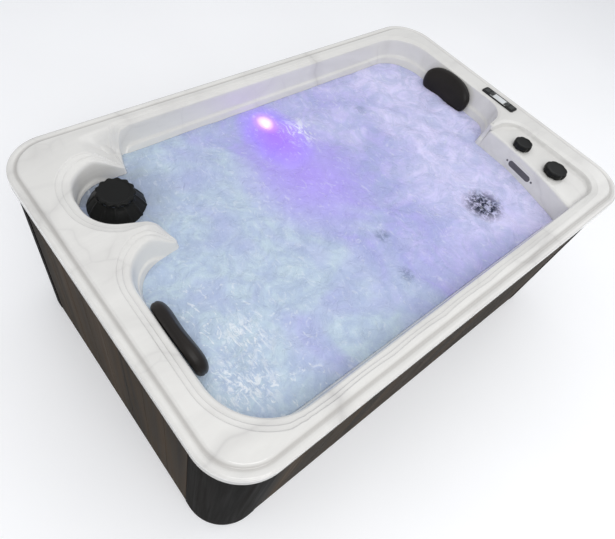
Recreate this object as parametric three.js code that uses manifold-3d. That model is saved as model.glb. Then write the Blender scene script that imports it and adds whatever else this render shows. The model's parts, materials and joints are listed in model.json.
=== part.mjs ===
// A two-person lounger hot tub: a moulded acrylic shell in a panelled cabinet, with the
// controls, filter, jets, pump and pipes that it holds. Millimetres, +Z up, ground at z = 0,
// the long side along X and the filter well at the -X end.
import * as THREE from "three";
import { mergeVertices } from "three/addons/utils/BufferGeometryUtils.js";
import Module from "manifold-3d";

const wasm = await Module();
wasm.setup();

// Overall size
const tubLength = 2100;
const tubWidth = 1372;
const tubHeight = 772;
const seatGap = 0.3;
const overrun = 20;

// Moulded rim, from the outside in: insets from the outline, drops below the deck
const rimRadius = 165;
const lipDrop = 49.5;
const lipFaceDrop = 13.5;
const beadRoundInset = 3;
const beadRoundDrop = 6.5;
const beadCrownInset = 13;
const beadCrownDrop = 5;
const grooveInset = 28;
const grooveDrop = 11.5;
const grooveWallInset = 33;
const grooveWallDrop = 5.5;
const deckInset = 39;
const lipThickness = 6;
const shellThickness = 8;
const flangeDrop = 20;

// Deck widths round the basin and the stepped edge that leads down into it
const deckFront = 87;
const deckLeft = 121;
const deckRight = 117;
const deckShelf = 124;
const stepOuterWidth = 50;
const stepInnerWidth = 31;
const stepRiserRun = 3;
const stepDrop = 5;
const stepTreadFall = 1;
const edgeRollWidth = 8;
const edgeRollDrop = 11;

// Filter well in the back left corner
const wellRadius = 137;
const wellCentreXShare = -0.736;
const wellCentreYShare = 0.551;
const bayDrop = 231;
const bayRoundInset = 34;
const weirBulge = 14;

// Seat recesses, control shelf and the two noses that part the seats
const recessRadius = 212;
const seatCornerRadius = 170;
const seatThroatRadius = 110;
const seatBackRadius = 120;
const shelfCornerRadius = 100;
const noseRadius = 25;
const noseBackRadius = 16;
const noseEdgeRadius = 8;
const tipRadius = 10;
const shelfDrop = 25;
const shelfRound = 6;
const faceRun = 12;
const ledgeDrop = 175;
const ledgeWidth = 38;
const ledgeRound = 8;
const footWallRun = 67;

// Basin walls and floor
const wallRun = 100;
const wallDrop = 370;
const floorStart = 150;
const bolsterHeight = 30;
const laneBlend = 95;
const seatBlend = 36;
const seatDepth = 567;

// Cabinet
const panelInset = 12;
const cornerInset = 10;
const panelThickness = 12;
const cornerThickness = 14;
const panelFoot = 6;
const panelTuck = 17;
const cornerReach = 190;
const seamGap = 5;
const plankPitch = 118;
const grooveHalf = 1.5;
const grooveCut = 1.2;
const accessDrop = 1.5;

// Frame and base pan
const frameInset = 28.5;
const frameTube = 38;
const frameRail = 60;
const frameEndSetback = 150;
const frameStudPitch = 450;
const cornerTab = 18;
const panThickness = 12;
const panRibDepth = 4;
const panRibWidth = 30;
const panRibPitch = 240;

// Control shelf valves and knobs
const backKnobXShare = 0.3;
const backKnobAside = 72;
const backKnobRadius = 35;
const frontKnobXShare = 0.39;
const frontKnobYShare = -0.6355;
const frontKnobRadius = 44;
const knobHeight = 20;
const knobEdge = 2.5;
const knobLobes = 8;
const knobLobeShare = 0.035;
const knobWall = 6;
const valveFlangeHeight = 3;
const valveFlangeShare = 0.8;
const valveBodyShare = 0.62;
const valveDepth = 90;
const stemRadius = 7;

// Keypad on the deck
const keypadLength = 182;
const keypadWidth = 50;
const keypadHeight = 4;
const keypadEdgeGap = 54;
const keypadYShare = -0.006;
const keypadRound = 9;
const keypadFloor = 1.5;
const windowLength = 58;
const windowWidth = 30;
const windowSide = 2;
const buttonLength = 22;
const buttonWidth = 30;
const buttonSpace = 4;
const buttonRise = 1.6;
const buttonTravel = 1.5;
const keypadGap = 0.5;

// Waterfall in the face below the control shelf
const waterfallYShare = -0.478;
const waterfallDrop = 79;
const waterfallPlateLength = 172;
const waterfallPlateHeight = 46;
const waterfallPlateThickness = 4;
const waterfallSeatDepth = 2;
const waterfallSpoutLength = 114;
const waterfallSpoutHeight = 21;
const waterfallSpoutWall = 3;
const waterfallDepth = 45;
const waterfallScrewSpan = 148;
const waterfallScrewRadius = 3.5;

// Filter in the well
const filterXShare = -0.025;
const filterYShare = -0.088;
const capRadius = 65.7;
const capHeight = 15;
const capLobes = 13;
const capLobeShare = 0.05;
const capRimWidth = 12;
const capRecess = 2;
const capDrop = 45;
const skirtRadiusShare = 0.745;
const skirtTubeRadius = 64;
const skirtWall = 3;
const skirtFlareDrop = 55;
const skirtHem = 7;
const skirtRibs = 12;
const skirtRibWidth = 5;
const skirtRibHeight = 4;
const canisterRadius = 66;
const canisterWall = 4;
const canisterFlangeRadius = 80;
const canisterFlangeHeight = 6;
const canisterDepth = 290;
const cartridgeRadius = 52;
const cartridgePleats = 26;
const pleatDepth = 7;
const cartridgeRise = 60;

// Light on the back wall
const lightXShare = 0.052;
const lightDrop = 215;
const lightRadius = 29;
const lightBodyRadius = 18;
const lightBodyDepth = 30;
const lensRadius = 21;
const lensDome = 6;
const flangeHeight = 3;

// Jets
const jetRadius = 26;
const jetFaceRadius = 19;
const jetBodyRadius = 14;
const jetBodyDepth = 34;
const jetFaceHeight = 5;
const jetNozzleRadius = 5;
const jetNozzleOffset = 8;
const jetNozzleDepth = 3;
const spotDepth = 2.5;
const footJetRadius = 70;
const footJetBodyRadius = 40;
const footJetFaceRadius = 60;
const footJetHeight = 10;
const footJetHoles = 8;
const footJetHoleRadius = 5.5;
const footJetRingRadius = 41;
const footJetDepth = 60;
const footJetYShare = -0.46;
const footJetDrop = 312;

// Pipes below the seats
const pipeRadius = 9;
const trunkRadius = 16;
const trunkHeight = 95;
const headerXShare = 0.59;
const trunkYShare = 0.44;
const suctionRadius = 48;
const suctionHeight = 12;
const suctionSlots = 6;
const suctionSlotRadius = 5;
const suctionRingRadius = 30;
const suctionLineHeight = 45;
const suctionLineGap = 74;
const suctionBodyDepth = 36;
const suctionBodyRadius = 22;
const suctionPlaceShares = [[0.5, -0.34], [-0.43, 0.62]];

// Pump, heater, control box and drain at the +X end
const serviceInset = 158;
const motorRadius = 70;
const motorLength = 225;
const motorFins = 10;
const finHeight = 5;
const finWidth = 6;
const wetEndRadius = 82;
const wetEndLength = 88;
const pumpFoot = 14;
const footWidth = 60;
const pumpStartYShare = -0.74;
const portRadius = 24;
const portRise = 30;
const heaterRadius = 30;
const heaterLength = 280;
const heaterSetback = 122;
const heaterYShare = 0.11;
const pressureRise = 35;
const saddleHeight = 10;
const saddleWidth = 24;
const boxWidth = 110;
const boxLength = 300;
const boxHeight = 200;
const boxLid = 12;
const boxRim = 8;
const boxYShare = 0.36;
const drainHeight = 90;
const drainRadius = 11;
const drainSetback = 50;
const drainBracket = 12;
const drainCapRadius = 16;
const drainCapLength = 20;

// Headrest pillows
const pillowLength = 272;
const pillowHeight = 152;
const pillowDepth = 54;
const pillowSeam = 18;
const pillowWaistShare = 0.3;
const pillowSaddleShare = 0.16;
const pillowBluntShare = 0.7;
const pillowEndShare = 0.85;
const pillowDrop = 79;
const leftPillowYShare = -0.302;
const rightPillowYShare = 0.335;

const halfLength = tubLength / 2;
const halfWidth = tubWidth / 2;
const lipBottom = tubHeight - lipDrop;
const wellX = halfLength * wellCentreXShare;
const wellY = halfWidth * wellCentreYShare;
const frontEdge = -halfWidth + deckFront;
const backEdge = halfWidth - deckFront;
const leftEdge = -halfLength + deckLeft;
const rightEdge = halfLength - deckRight;
const shelfEdge = halfLength - deckShelf;

// Small geometry helpers

function solid(geometry) {
  const bare = geometry.index ? geometry.toNonIndexed() : geometry.clone();
  const points = new THREE.BufferGeometry();
  points.setAttribute("position", bare.getAttribute("position"));
  const merged = mergeVertices(points, overrun / 1e5);
  const faces = [];
  for (let i = 0; i < merged.index.count; i += 3) {
    const [a, b, c] = merged.index.array.subarray(i, i + 3);
    if (a !== b && b !== c && c !== a) faces.push([a, b, c]);
  }
  const made = (list) =>
    new wasm.Manifold(
      new wasm.Mesh({
        numProp: 3,
        vertProperties: merged.attributes.position.array,
        triVerts: new Uint32Array(list.flat()),
      }),
    );
  const first = made(faces);
  return first.volume() < 0 ? made(faces.map(([a, b, c]) => [a, c, b])) : first;
}

function geometryOf(body) {
  const mesh = body.getMesh();
  const geometry = new THREE.BufferGeometry();
  geometry.setAttribute("position", new THREE.BufferAttribute(mesh.vertProperties, 3));
  geometry.setIndex(new THREE.BufferAttribute(mesh.triVerts, 1));
  const flat = geometry.toNonIndexed();
  flat.computeVertexNormals();
  return flat;
}

// A closed profile of [radius, height] pairs revolved about Z
function turned(profile, sides) {
  const points = profile.map(([r, z]) => new THREE.Vector2(r, z));
  return new THREE.LatheGeometry(points, sides).rotateX(Math.PI / 2);
}

// A plan outline of [x, y] pairs raised from z = low to z = high
function raised(outline, low, high, holes = []) {
  const shape = new THREE.Shape(outline.map(([x, y]) => new THREE.Vector2(x, y)));
  shape.holes = holes.map((h) => new THREE.Path(h.map(([x, y]) => new THREE.Vector2(x, y))));
  const options = { depth: high - low, bevelEnabled: false };
  return new THREE.ExtrudeGeometry(shape, options).translate(0, 0, low);
}

// A block between two corners
function block(low, high) {
  const size = high.map((v, i) => v - low[i]);
  const middle = high.map((v, i) => (v + low[i]) / 2);
  return new THREE.BoxGeometry(...size).translate(...middle);
}

// A cylinder from one point to another
function rod(from, to, radius, sides = 16) {
  const start = new THREE.Vector3(...from);
  const way = new THREE.Vector3(...to).sub(start);
  const bar = new THREE.CylinderGeometry(radius, radius, way.length(), sides);
  bar.rotateX(Math.PI / 2).translate(0, 0, way.length() / 2);
  const turn = new THREE.Quaternion().setFromUnitVectors(zAxis, way.clone().normalize());
  return bar.applyQuaternion(turn).translate(start.x, start.y, start.z);
}

function joined(geometries) {
  return geometries.map(solid).reduce((all, one) => all.add(one));
}

function ring(radius, sides, bump = () => 0) {
  return Array.from({ length: sides }, (_, i) => {
    const angle = (i / sides) * 2 * Math.PI;
    const r = radius * (1 + bump(angle));
    return [r * Math.cos(angle), r * Math.sin(angle)];
  });
}

// A slot outline with round ends, long along x
function pill(length, height, steps = 6) {
  const r = height / 2;
  const end = (sign) =>
    Array.from({ length: steps + 1 }, (_, i) => {
      const angle = (-0.5 + i / steps) * Math.PI;
      return [sign * (length / 2 - r + r * Math.cos(angle)), sign * r * Math.sin(angle)];
    });
  return [...end(1), ...end(-1)];
}

function roundedBox(length, width, radius, steps = 3) {
  const corners = [[1, 1], [-1, 1], [-1, -1], [1, -1]];
  return corners.flatMap(([sx, sy], k) =>
    Array.from({ length: steps + 1 }, (_, i) => {
      const angle = (k + i / steps) * (Math.PI / 2);
      const x = sx * (length / 2 - radius) + radius * Math.cos(angle);
      return [x, sy * (width / 2 - radius) + radius * Math.sin(angle)];
    }),
  );
}

const zAxis = new THREE.Vector3(0, 0, 1);
const clamp = (v) => Math.min(1, Math.max(0, v));
const smooth = (v) => clamp(v) ** 2 * (3 - 2 * clamp(v));
const mix = (a, b, t) => a + (b - a) * t;

const hotTub = new THREE.Group();

// Adds one named piece, placed and turned as a scene node
function piece(name, body, finish, at = [0, 0, 0], facing = null) {
  const geometry = body.isBufferGeometry ? geometryOf(solid(body)) : geometryOf(body);
  const mesh = new THREE.Mesh(geometry, new THREE.MeshStandardMaterial(finish));
  mesh.name = name;
  mesh.position.set(...at);
  if (facing) mesh.quaternion.setFromUnitVectors(zAxis, facing);
  hotTub.add(mesh);
  return mesh;
}

const acrylic = { color: 0xe4e3de, roughness: 0.18, metalness: 0 };
const board = { color: 0x35312b, roughness: 0.6, metalness: 0 };
const frameSteel = { color: 0x9a9c9e, roughness: 0.45, metalness: 0.8 };
const blackPlastic = { color: 0x1e1f1d, roughness: 0.4, metalness: 0 };
const panPlastic = { color: 0x232323, roughness: 0.7, metalness: 0 };
const pillowSkin = { color: 0x1b1b1b, roughness: 0.5, metalness: 0 };
const pipePlastic = { color: 0xd9dad6, roughness: 0.5, metalness: 0 };
const smokeWindow = { color: 0xdfe2e2, roughness: 0.1, metalness: 0 };
const greyPlastic = { color: 0x646264, roughness: 0.45, metalness: 0 };
const steel = { color: 0xb8babb, roughness: 0.25, metalness: 1 };
const motorPaint = { color: 0x2d3436, roughness: 0.5, metalness: 0.3 };
const filterPaper = { color: 0xe8e9ea, roughness: 0.9, metalness: 0 };
const lensClear = { color: 0xcdb6ff, roughness: 0.1, metalness: 0 };

// Basin outline: corner points, rounding, columns on the arc and on the straight after it,
// and the shares of the rim (0 to 8, corner arcs first) that its ends face.
// depth and width scale the stepped edge, draft scales the slope of the wall below it.
const basinCornerShares = [
  { x: leftEdge, y: frontEdge, r: recessRadius, arc: 6, run: 8, rimShares: [0, 1],
    depthShare: 0.8, widthShare: 0.9, draftShares: [1, 1] },
  { x: halfLength * 0.675, y: frontEdge, r: 0, arc: 1, run: 1, rimShares: null,
    depthShare: 0.2, widthShare: 0.6, draftShares: [1, 1], kind: "shelf" },
  { x: shelfEdge, y: frontEdge, r: shelfCornerRadius, arc: 6, run: 3, rimShares: [2, 3],
    depthShare: 0.25, widthShare: 0.5, draftShares: [1, 1], kind: "shelf" },
  { x: shelfEdge, y: halfWidth * -0.178, r: shelfCornerRadius, arc: 4, run: 2,
    rimShares: [3.3, 3.38], depthShare: 0.25, widthShare: 0.3, draftShares: [1, 1], kind: "shelf" },
  { x: halfLength * 0.747, y: halfWidth * -0.163, r: noseEdgeRadius, arc: 2, run: 0,
    rimShares: [3.4, 3.42], depthShare: 0.3, widthShare: 0.2, draftShares: [1, 1], kind: "shelf" },
  { x: halfLength * 0.747, y: halfWidth * -0.134, r: noseEdgeRadius, arc: 2, run: 1,
    rimShares: [3.45, 3.46], depthShare: 0.3, widthShare: 0.2, draftShares: [1, 1] },
  { x: rightEdge, y: halfWidth * -0.096, r: seatThroatRadius, arc: 4, run: 3, reachShare: 0.6,
    rimShares: [3.48, 3.6], depthShare: 0.3, widthShare: 0.2, draftShares: [1, 1] },
  { x: rightEdge, y: backEdge, r: seatCornerRadius, arc: 6, run: 9, rimShares: [4, 5],
    depthShare: 0.3, widthShare: 0.5, draftShares: [1, 1], reachShare: 0.9 },
  { x: wellX + wellRadius * 0.97, y: backEdge, r: noseRadius, arc: 2, run: 0, mitred: true,
    rimShares: [5.86, 5.88], depthShare: 0.5, widthShare: 0.6, draftShares: [1, 1],
    reachShare: 0.75 },
  { x: wellX + wellRadius * 0.708, y: wellY + wellRadius * 0.79, r: tipRadius, arc: 4, run: 1,
    rimShares: [5.91, 5.95], depthShare: 0.8, widthShare: 1, draftShares: [1, 0.3], kind: "bay" },
  { x: wellX - wellRadius, y: wellY + wellRadius * 0.964, r: wellRadius, arc: 7, run: 0,
    rimShares: [6, 7], depthShare: 1, widthShare: 1, draftShares: [0.3, 0.3], kind: "bay" },
  { x: wellX - wellRadius, y: wellY - wellRadius * 0.964, r: wellRadius * 0.9, arc: 5, run: 2,
    rimShares: [7.1, 7.27], depthShare: 1, widthShare: 1, draftShares: [0.3, 0.3], kind: "bay" },
  { x: wellX + wellRadius * 0.307, y: wellY - wellRadius * 1.54, r: noseRadius, arc: 3, run: 0,
    rimShares: [7.31, 7.335], depthShare: 1, widthShare: 0.9, draftShares: [0.3, 1.5], kind: "bay" },
  { x: wellX + wellRadius * 0.4, y: wellY - wellRadius * 2.08, r: noseBackRadius, arc: 3, run: 1,
    rimShares: [7.36, 7.385], depthShare: 1, widthShare: 0.9, draftShares: [1.5, 1.1] },
  { x: leftEdge + seatBackRadius * 0.1, y: wellY - wellRadius * 2.08, r: seatBackRadius, arc: 4,
    run: 3, rimShares: [7.41, 7.56], depthShare: 0.9, widthShare: 0.9, draftShares: [1.1, 1],
    reachShare: 0.65 },
];

// Points, inward normals and the corner each column belongs to, round the basin outline
function basinColumns() {
  const corners = basinCornerShares;
  const count = corners.length;
  const at = (i) => new THREE.Vector2(corners[(i + count) % count].x, corners[(i + count) % count].y);
  const turns = corners.map((corner, i) => {
    const into = at(i).sub(at(i - 1));
    const away = at(i + 1).sub(at(i));
    const angle = Math.atan2(into.cross(away), into.dot(away));
    return { into: into.clone().normalize(), away: away.clone().normalize(), angle,
      tangent: corner.r * Math.tan(Math.abs(angle) / 2) };
  });
  // A rounding is limited by the edges that it joins
  const limit = turns.map((turn, i) => {
    const before = at(i).distanceTo(at(i - 1));
    const after = at(i + 1).distanceTo(at(i));
    const previous = turns[(i + count - 1) % count].tangent;
    const next = turns[(i + 1) % count].tangent;
    const room = Math.min(before / (turn.tangent + previous), after / (turn.tangent + next));
    return Math.min(1, room);
  });
  const columns = [];
  const left = (v) => new THREE.Vector2(-v.y, v.x);
  corners.forEach((corner, i) => {
    const { into, angle, tangent } = turns[i];
    const reach = tangent * limit[i];
    const radius = corner.r * limit[i];
    const side = Math.sign(angle) || 1;
    const start = at(i).addScaledVector(into, -reach);
    const centre = start.clone().addScaledVector(left(into), radius * side);
    for (let k = 0; k < corner.arc; k += 1) {
      const share = corner.arc > 1 ? k / (corner.arc - 1) : 0.5;
      const turn = angle * share;
      const point = start.clone().rotateAround(centre, turn);
      const normal = left(into).rotateAround(new THREE.Vector2(), turn);
      const mitre = left(into).add(left(turns[i].away)).divideScalar(1 + Math.cos(angle));
      const down = corner.mitred ? mitre : normal;
      columns.push({ point, normal, down, corner: i, share, kind: corner.kind || "seat" });
    }
    for (let k = 1; k <= corner.run; k += 1) columns.push({ corner: i, run: k, share: 1 });
  });
  fillRuns(columns, corners);
  return columns;
}

// Places the columns of each straight evenly between the arcs at its ends
function fillRuns(columns, corners) {
  columns.forEach((column, i) => {
    if (!column.run) return;
    const { run } = corners[column.corner];
    const first = columns[i - column.run];
    const last = columns[(i - column.run + run + 1) % columns.length];
    const t = column.run / (run + 1);
    column.point = first.point.clone().lerp(last.point, t);
    column.normal = first.normal.clone().lerp(last.normal, t).normalize();
    column.down = column.normal;
    column.kind = first.kind === last.kind ? first.kind : "seat";
    if (first.kind === "bay" || last.kind === "bay") column.kind = first.kind;
    column.between = t;
  });
}

// The rim share that each column faces, even along the outline between the given ends
function faceRim(columns) {
  const total = columns.length;
  const lengths = columns.map((c, i) => c.point.distanceTo(columns[(i + 1) % total].point));
  const run = lengths.reduce((sums, v) => [...sums, sums[sums.length - 1] + v], [0]);
  const marks = [];
  basinCornerShares.forEach((corner, i) => {
    if (!corner.rimShares) return;
    const arc = columns.map((c, j) => j).filter((j) => columns[j].corner === i && !columns[j].run);
    marks.push([run[arc[0]], corner.rimShares[0]]);
    marks.push([run[arc[arc.length - 1]], corner.rimShares[1]]);
  });
  marks.push([run[total], 8]);
  columns.forEach((column, j) => {
    const k = marks.findIndex(([at], i) => i + 1 === marks.length - 1 || run[j] <= marks[i + 1][0]);
    const [[a, low], [b, high]] = [marks[k], marks[k + 1]];
    column.rimShare = mix(low, high, b > a ? clamp((run[j] - a) / (b - a)) : 0);
  });
}

// A point on the rim's rounded outline, moved in by an inset
function rimPoint(share, inset) {
  const r = rimRadius - inset;
  const k = Math.floor(share) % 8;
  const t = share - Math.floor(share);
  const quarter = Math.floor(k / 2);
  const centre = (q) => [
    (q === 1 || q === 2 ? 1 : -1) * (halfLength - rimRadius),
    (q > 1 ? 1 : -1) * (halfWidth - rimRadius),
  ];
  const onArc = (q, turn) => {
    const [cx, cy] = centre(q % 4);
    const angle = Math.PI * (1 + (q % 4) / 2 + turn / 2);
    return [cx + r * Math.cos(angle), cy + r * Math.sin(angle)];
  };
  if (k % 2 === 0) return onArc(quarter, t);
  const a = onArc(quarter, 1);
  const b = onArc(quarter + 1, 0);
  return [mix(a[0], b[0], t), mix(a[1], b[1], t)];
}

// Seat height along a lounger, from its head edge to its foot end: shares of the tub's
// length and of the seat depth
const lanePlaceShares = [0.02, 0.075, 0.23, 0.29, 0.365, 0.46, 0.51, 0.67, 0.73, 0.78];
const laneDropShares = [0.3, 0.4, 0.806, 0.889, 0.868, 0.744, 0.723, 0.947, 1, 0.982];

function laneHeight(u) {
  const share = u / tubLength;
  const last = lanePlaceShares.length - 1;
  if (share <= lanePlaceShares[0]) return tubHeight - seatDepth * laneDropShares[0];
  if (share >= lanePlaceShares[last]) return tubHeight - seatDepth * laneDropShares[last];
  const k = lanePlaceShares.findIndex((_, i) => share < lanePlaceShares[i + 1]);
  const t = (share - lanePlaceShares[k]) / (lanePlaceShares[k + 1] - lanePlaceShares[k]);
  const slope = (i) => {
    const a = Math.max(0, i - 1);
    const b = Math.min(last, i + 1);
    return (laneDropShares[b] - laneDropShares[a]) / (lanePlaceShares[b] - lanePlaceShares[a]);
  };
  const span = lanePlaceShares[k + 1] - lanePlaceShares[k];
  const cubic =
    laneDropShares[k] * (1 + 2 * t) * (1 - t) ** 2 + laneDropShares[k + 1] * t * t * (3 - 2 * t) +
    span * (slope(k) * t * (1 - t) ** 2 - slope(k + 1) * t * t * (1 - t));
  return tubHeight - seatDepth * cubic;
}

// The line that parts the two loungers, and the height of the moulded seats
const dividerSlopeShare = -0.155;

function floorHeight(x, y) {
  const divide = dividerSlopeShare * x;
  const front = laneHeight(x - leftEdge);
  const back = laneHeight(rightEdge - x);
  const side = smooth((y - divide + laneBlend) / (2 * laneBlend));
  const edge = y > divide ? backEdge : frontEdge;
  const across = clamp(Math.abs(2 * (y - divide) / (edge - divide) - 1));
  return mix(front, back, side) + bolsterHeight * across ** 4;
}

// The control shelf's lip and the weir line of the filter bay, by share from end to end
const shelfEnds = [[halfLength * 0.6743, frontEdge + seatGap], [halfLength * 0.7495, halfWidth * -0.163]];

function shelfLip(t) {
  const y = mix(shelfEnds[0][1], shelfEnds[1][1], t);
  const x = shelfEnds[1][0] - (shelfEnds[1][0] - shelfEnds[0][0]) * (1 - t) ** 2;
  const slope = new THREE.Vector2(2 * (shelfEnds[1][0] - shelfEnds[0][0]) * (1 - t),
    shelfEnds[1][1] - shelfEnds[0][1]).normalize();
  return { point: new THREE.Vector2(x, y), normal: new THREE.Vector2(-slope.y, slope.x) };
}

// Two-part frames of reference for each column: the edge for the upper wall, and an inner
// line for what lies past the control shelf or the filter bay
function innerLines(columns) {
  const ofKind = (kind) => columns.filter((c) => c.kind === kind);
  const shelf = ofKind("shelf");
  const shelfRun = shelf.map((c) => c.point.y - shelf[0].point.y);
  const reach = shelfRun[shelfRun.length - 1];
  let walked = 0;
  shelf.forEach((column, i) => {
    if (i) walked += column.point.distanceTo(shelf[i - 1].point);
    column.walked = walked;
  });
  shelf.forEach((column, i) => {
    const along = mix(column.walked / walked, shelfRun[i] / reach, 0.7);
    column.inner = shelfLip(clamp(along));
  });
  const bay = ofKind("bay");
  const start = bay[0].point.clone().addScaledVector(bay[0].normal, wallRun * 0.5);
  const final = bay[bay.length - 1];
  const end = final.point.clone().addScaledVector(final.normal, wallRun * 0.58 * final.draft);
  const way = end.clone().sub(start);
  const normal = new THREE.Vector2(-way.y, way.x).normalize();
  bay.forEach((column, i) => {
    const t = i / (bay.length - 1);
    const point = start.clone().lerp(end, t).addScaledVector(normal, weirBulge * 4 * t * (1 - t));
    column.inner = { point, normal };
  });
}

// Upper wall rings as shares: the inset of the wall's run, the drop of the wall's depth
const seatWallShares = [[0.08, 0.176], [0.22, 0.297], [0.34, 0.446], [0.46, 0.554], [0.58, 0.65],
  [0.74, 0.81], [1, 1]];

// The rings of one column, each with its point and drop, from the edge to the floor's start
function wallRings(column) {
  const { point, down, inner, kind, draft, reach } = column;
  const from = (frame, inset) => frame.point.clone().addScaledVector(frame.normal, inset);
  const edge = { point, normal: down };
  if (kind === "shelf")
    return [
      [from(edge, shelfRound), shelfDrop, 1],
      [from(inner, -shelfRound), shelfDrop, 1],
      [from(inner, 0), shelfDrop + shelfRound / 4, 1],
      [from(inner, shelfRound), shelfDrop + shelfRound, 1],
      [from(inner, faceRun), ledgeDrop, 1],
      [from(inner, faceRun + ledgeWidth), ledgeDrop + ledgeRound / 2, 1],
      [from(inner, faceRun + ledgeWidth + ledgeRound), ledgeDrop + ledgeRound * 2, 1],
      [from(inner, faceRun + ledgeWidth + footWallRun), null, 0],
    ];
  const upper = seatWallShares.map(([run, drop]) => [
    from(edge, run * wallRun * draft * mix(1, reach, run)), drop * wallDrop, 0]);
  if (kind === "seat") return [...upper, [from(edge, floorStart * reach * Math.sqrt(draft)), null, 0]];
  const bayRun = seatWallShares[1][0] * wallRun * draft;
  return [
    [upper[0][0], upper[0][1], 1],
    [from(edge, bayRun), bayDrop * 0.6, 1],
    [from(edge, bayRun + bayRoundInset * 0.3), bayDrop * 0.93, 1],
    [from(edge, bayRun + bayRoundInset * 0.7), bayDrop, 1],
    [from(inner, 0), bayDrop, 1],
    [from(inner, wallRun * 0.12), bayDrop * 1.05, 1],
    [from(inner, wallRun * 0.45), bayDrop * 1.4, 1],
    [from(inner, wallRun * 0.95), null, 0],
  ];
}

// Inner floor rings shrink from the foot of the walls to an oval in the middle
const floorRingShares = [0.16, 0.36, 0.58, 0.8, 1];
const spineLength = 900;
const spineWidth = 84;
const evenShare = 0.3;

// All rings of the moulded surface, upper face and underside
function shellRings() {
  const columns = basinColumns();
  faceRim(columns);
  const corners = basinCornerShares;
  columns.forEach((column) => {
    const here = corners[column.corner];
    const next = corners[(column.corner + 1) % corners.length];
    const t = column.run ? column.between : 0;
    column.depth = mix(here.depthShare, next.depthShare, t);
    column.width = mix(here.widthShare, next.widthShare, t);
    const [draftStart, draftEnd] = here.draftShares;
    column.draft = column.run ? mix(draftEnd, next.draftShares[0], t)
      : mix(draftStart, draftEnd, column.share);
    column.reach = mix(here.reachShare || 1, next.reachShare || 1, t);
  });
  innerLines(columns);
  const top = [];
  const under = [];
  const add = (rings, make) => rings.push(columns.map(make));
  const rim = (inset, drop) => (column) => {
    const [x, y] = rimPoint(column.rimShare, inset);
    return [x, y, tubHeight - drop];
  };
  add(top, rim(0, lipDrop));
  add(top, rim(0, lipFaceDrop));
  add(top, rim(beadRoundInset, beadRoundDrop));
  add(top, rim(beadCrownInset, beadCrownDrop));
  add(top, rim(grooveInset, grooveDrop));
  add(top, rim(grooveWallInset, grooveWallDrop));
  add(top, rim(deckInset, 0));
  const room = (column) => {
    const [x, y] = rimPoint(column.rimShare, deckInset);
    const way = new THREE.Vector2(x, y).sub(column.point);
    return Math.min(1, Math.max(0.15, (-way.dot(column.normal) * 0.8) / (stepOuterWidth * column.width)));
  };
  const step = (out, drop) => (column) => {
    const reach = out * column.width * room(column);
    const p = column.point.clone().addScaledVector(column.normal, -reach);
    return [p.x, p.y, tubHeight - drop * column.depth];
  };
  const tread = stepDrop + stepTreadFall;
  add(top, step(stepOuterWidth, 0));
  add(top, step(stepOuterWidth - stepRiserRun, stepDrop));
  add(top, step(stepInnerWidth, tread));
  add(top, step(stepInnerWidth - stepRiserRun, tread + stepDrop));
  add(top, step(edgeRollWidth, tread + stepDrop + stepTreadFall * 2));
  add(top, step(0, tread + stepDrop + stepTreadFall * 2 + edgeRollDrop));
  const walls = columns.map(wallRings);
  const last = walls[0].length - 1;
  walls.forEach((rings, j) => {
    rings.forEach(([p, drop, keep], i) => {
      const floor = floorHeight(p.x, p.y);
      const wanted = tubHeight - drop;
      let z = drop === null ? floor : wanted;
      if (!keep && drop !== null) z = (wanted + floor + Math.hypot(wanted - floor, seatBlend)) / 2;
      top[13 + i] = top[13 + i] || [];
      top[13 + i][j] = [p.x, p.y, z];
    });
  });
  const foot = top[13 + last];
  const oval = ovalPoints(foot);
  floorRingShares.forEach((share) => {
    top.push(foot.map(([x, y], j) => {
      const px = mix(x, oval[j][0], share);
      const py = mix(y, oval[j][1], share);
      return [px, py, floorHeight(px, py)];
    }));
  });
  undersideRings(under, top, columns, last);
  return { top, under, columns };
}

// Points of a slim oval along the line between the loungers, one for each point of a ring
function ovalPoints(foot) {
  const total = foot.length;
  const tilt = Math.atan(dividerSlopeShare);
  const angles = foot.map(([x, y]) => Math.atan2((y - dividerSlopeShare * x) / halfWidth, x / halfLength));
  const start = angles[0];
  const opened = angles.map((a) => (a - start + 4 * Math.PI) % (2 * Math.PI));
  opened[0] = 0;
  for (let j = 1; j < total; j += 1) opened[j] = Math.max(opened[j], opened[j - 1]);
  const even = opened.map((a, j) => mix(a, (j / total) * 2 * Math.PI, evenShare) + start);
  return even.map((a) => {
    const along = (spineLength / 2) * Math.cos(a);
    const aside = (spineWidth / 2) * Math.sin(a);
    return [
      along * Math.cos(tilt) - aside * Math.sin(tilt),
      along * Math.sin(tilt) + aside * Math.cos(tilt),
    ];
  });
}

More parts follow.
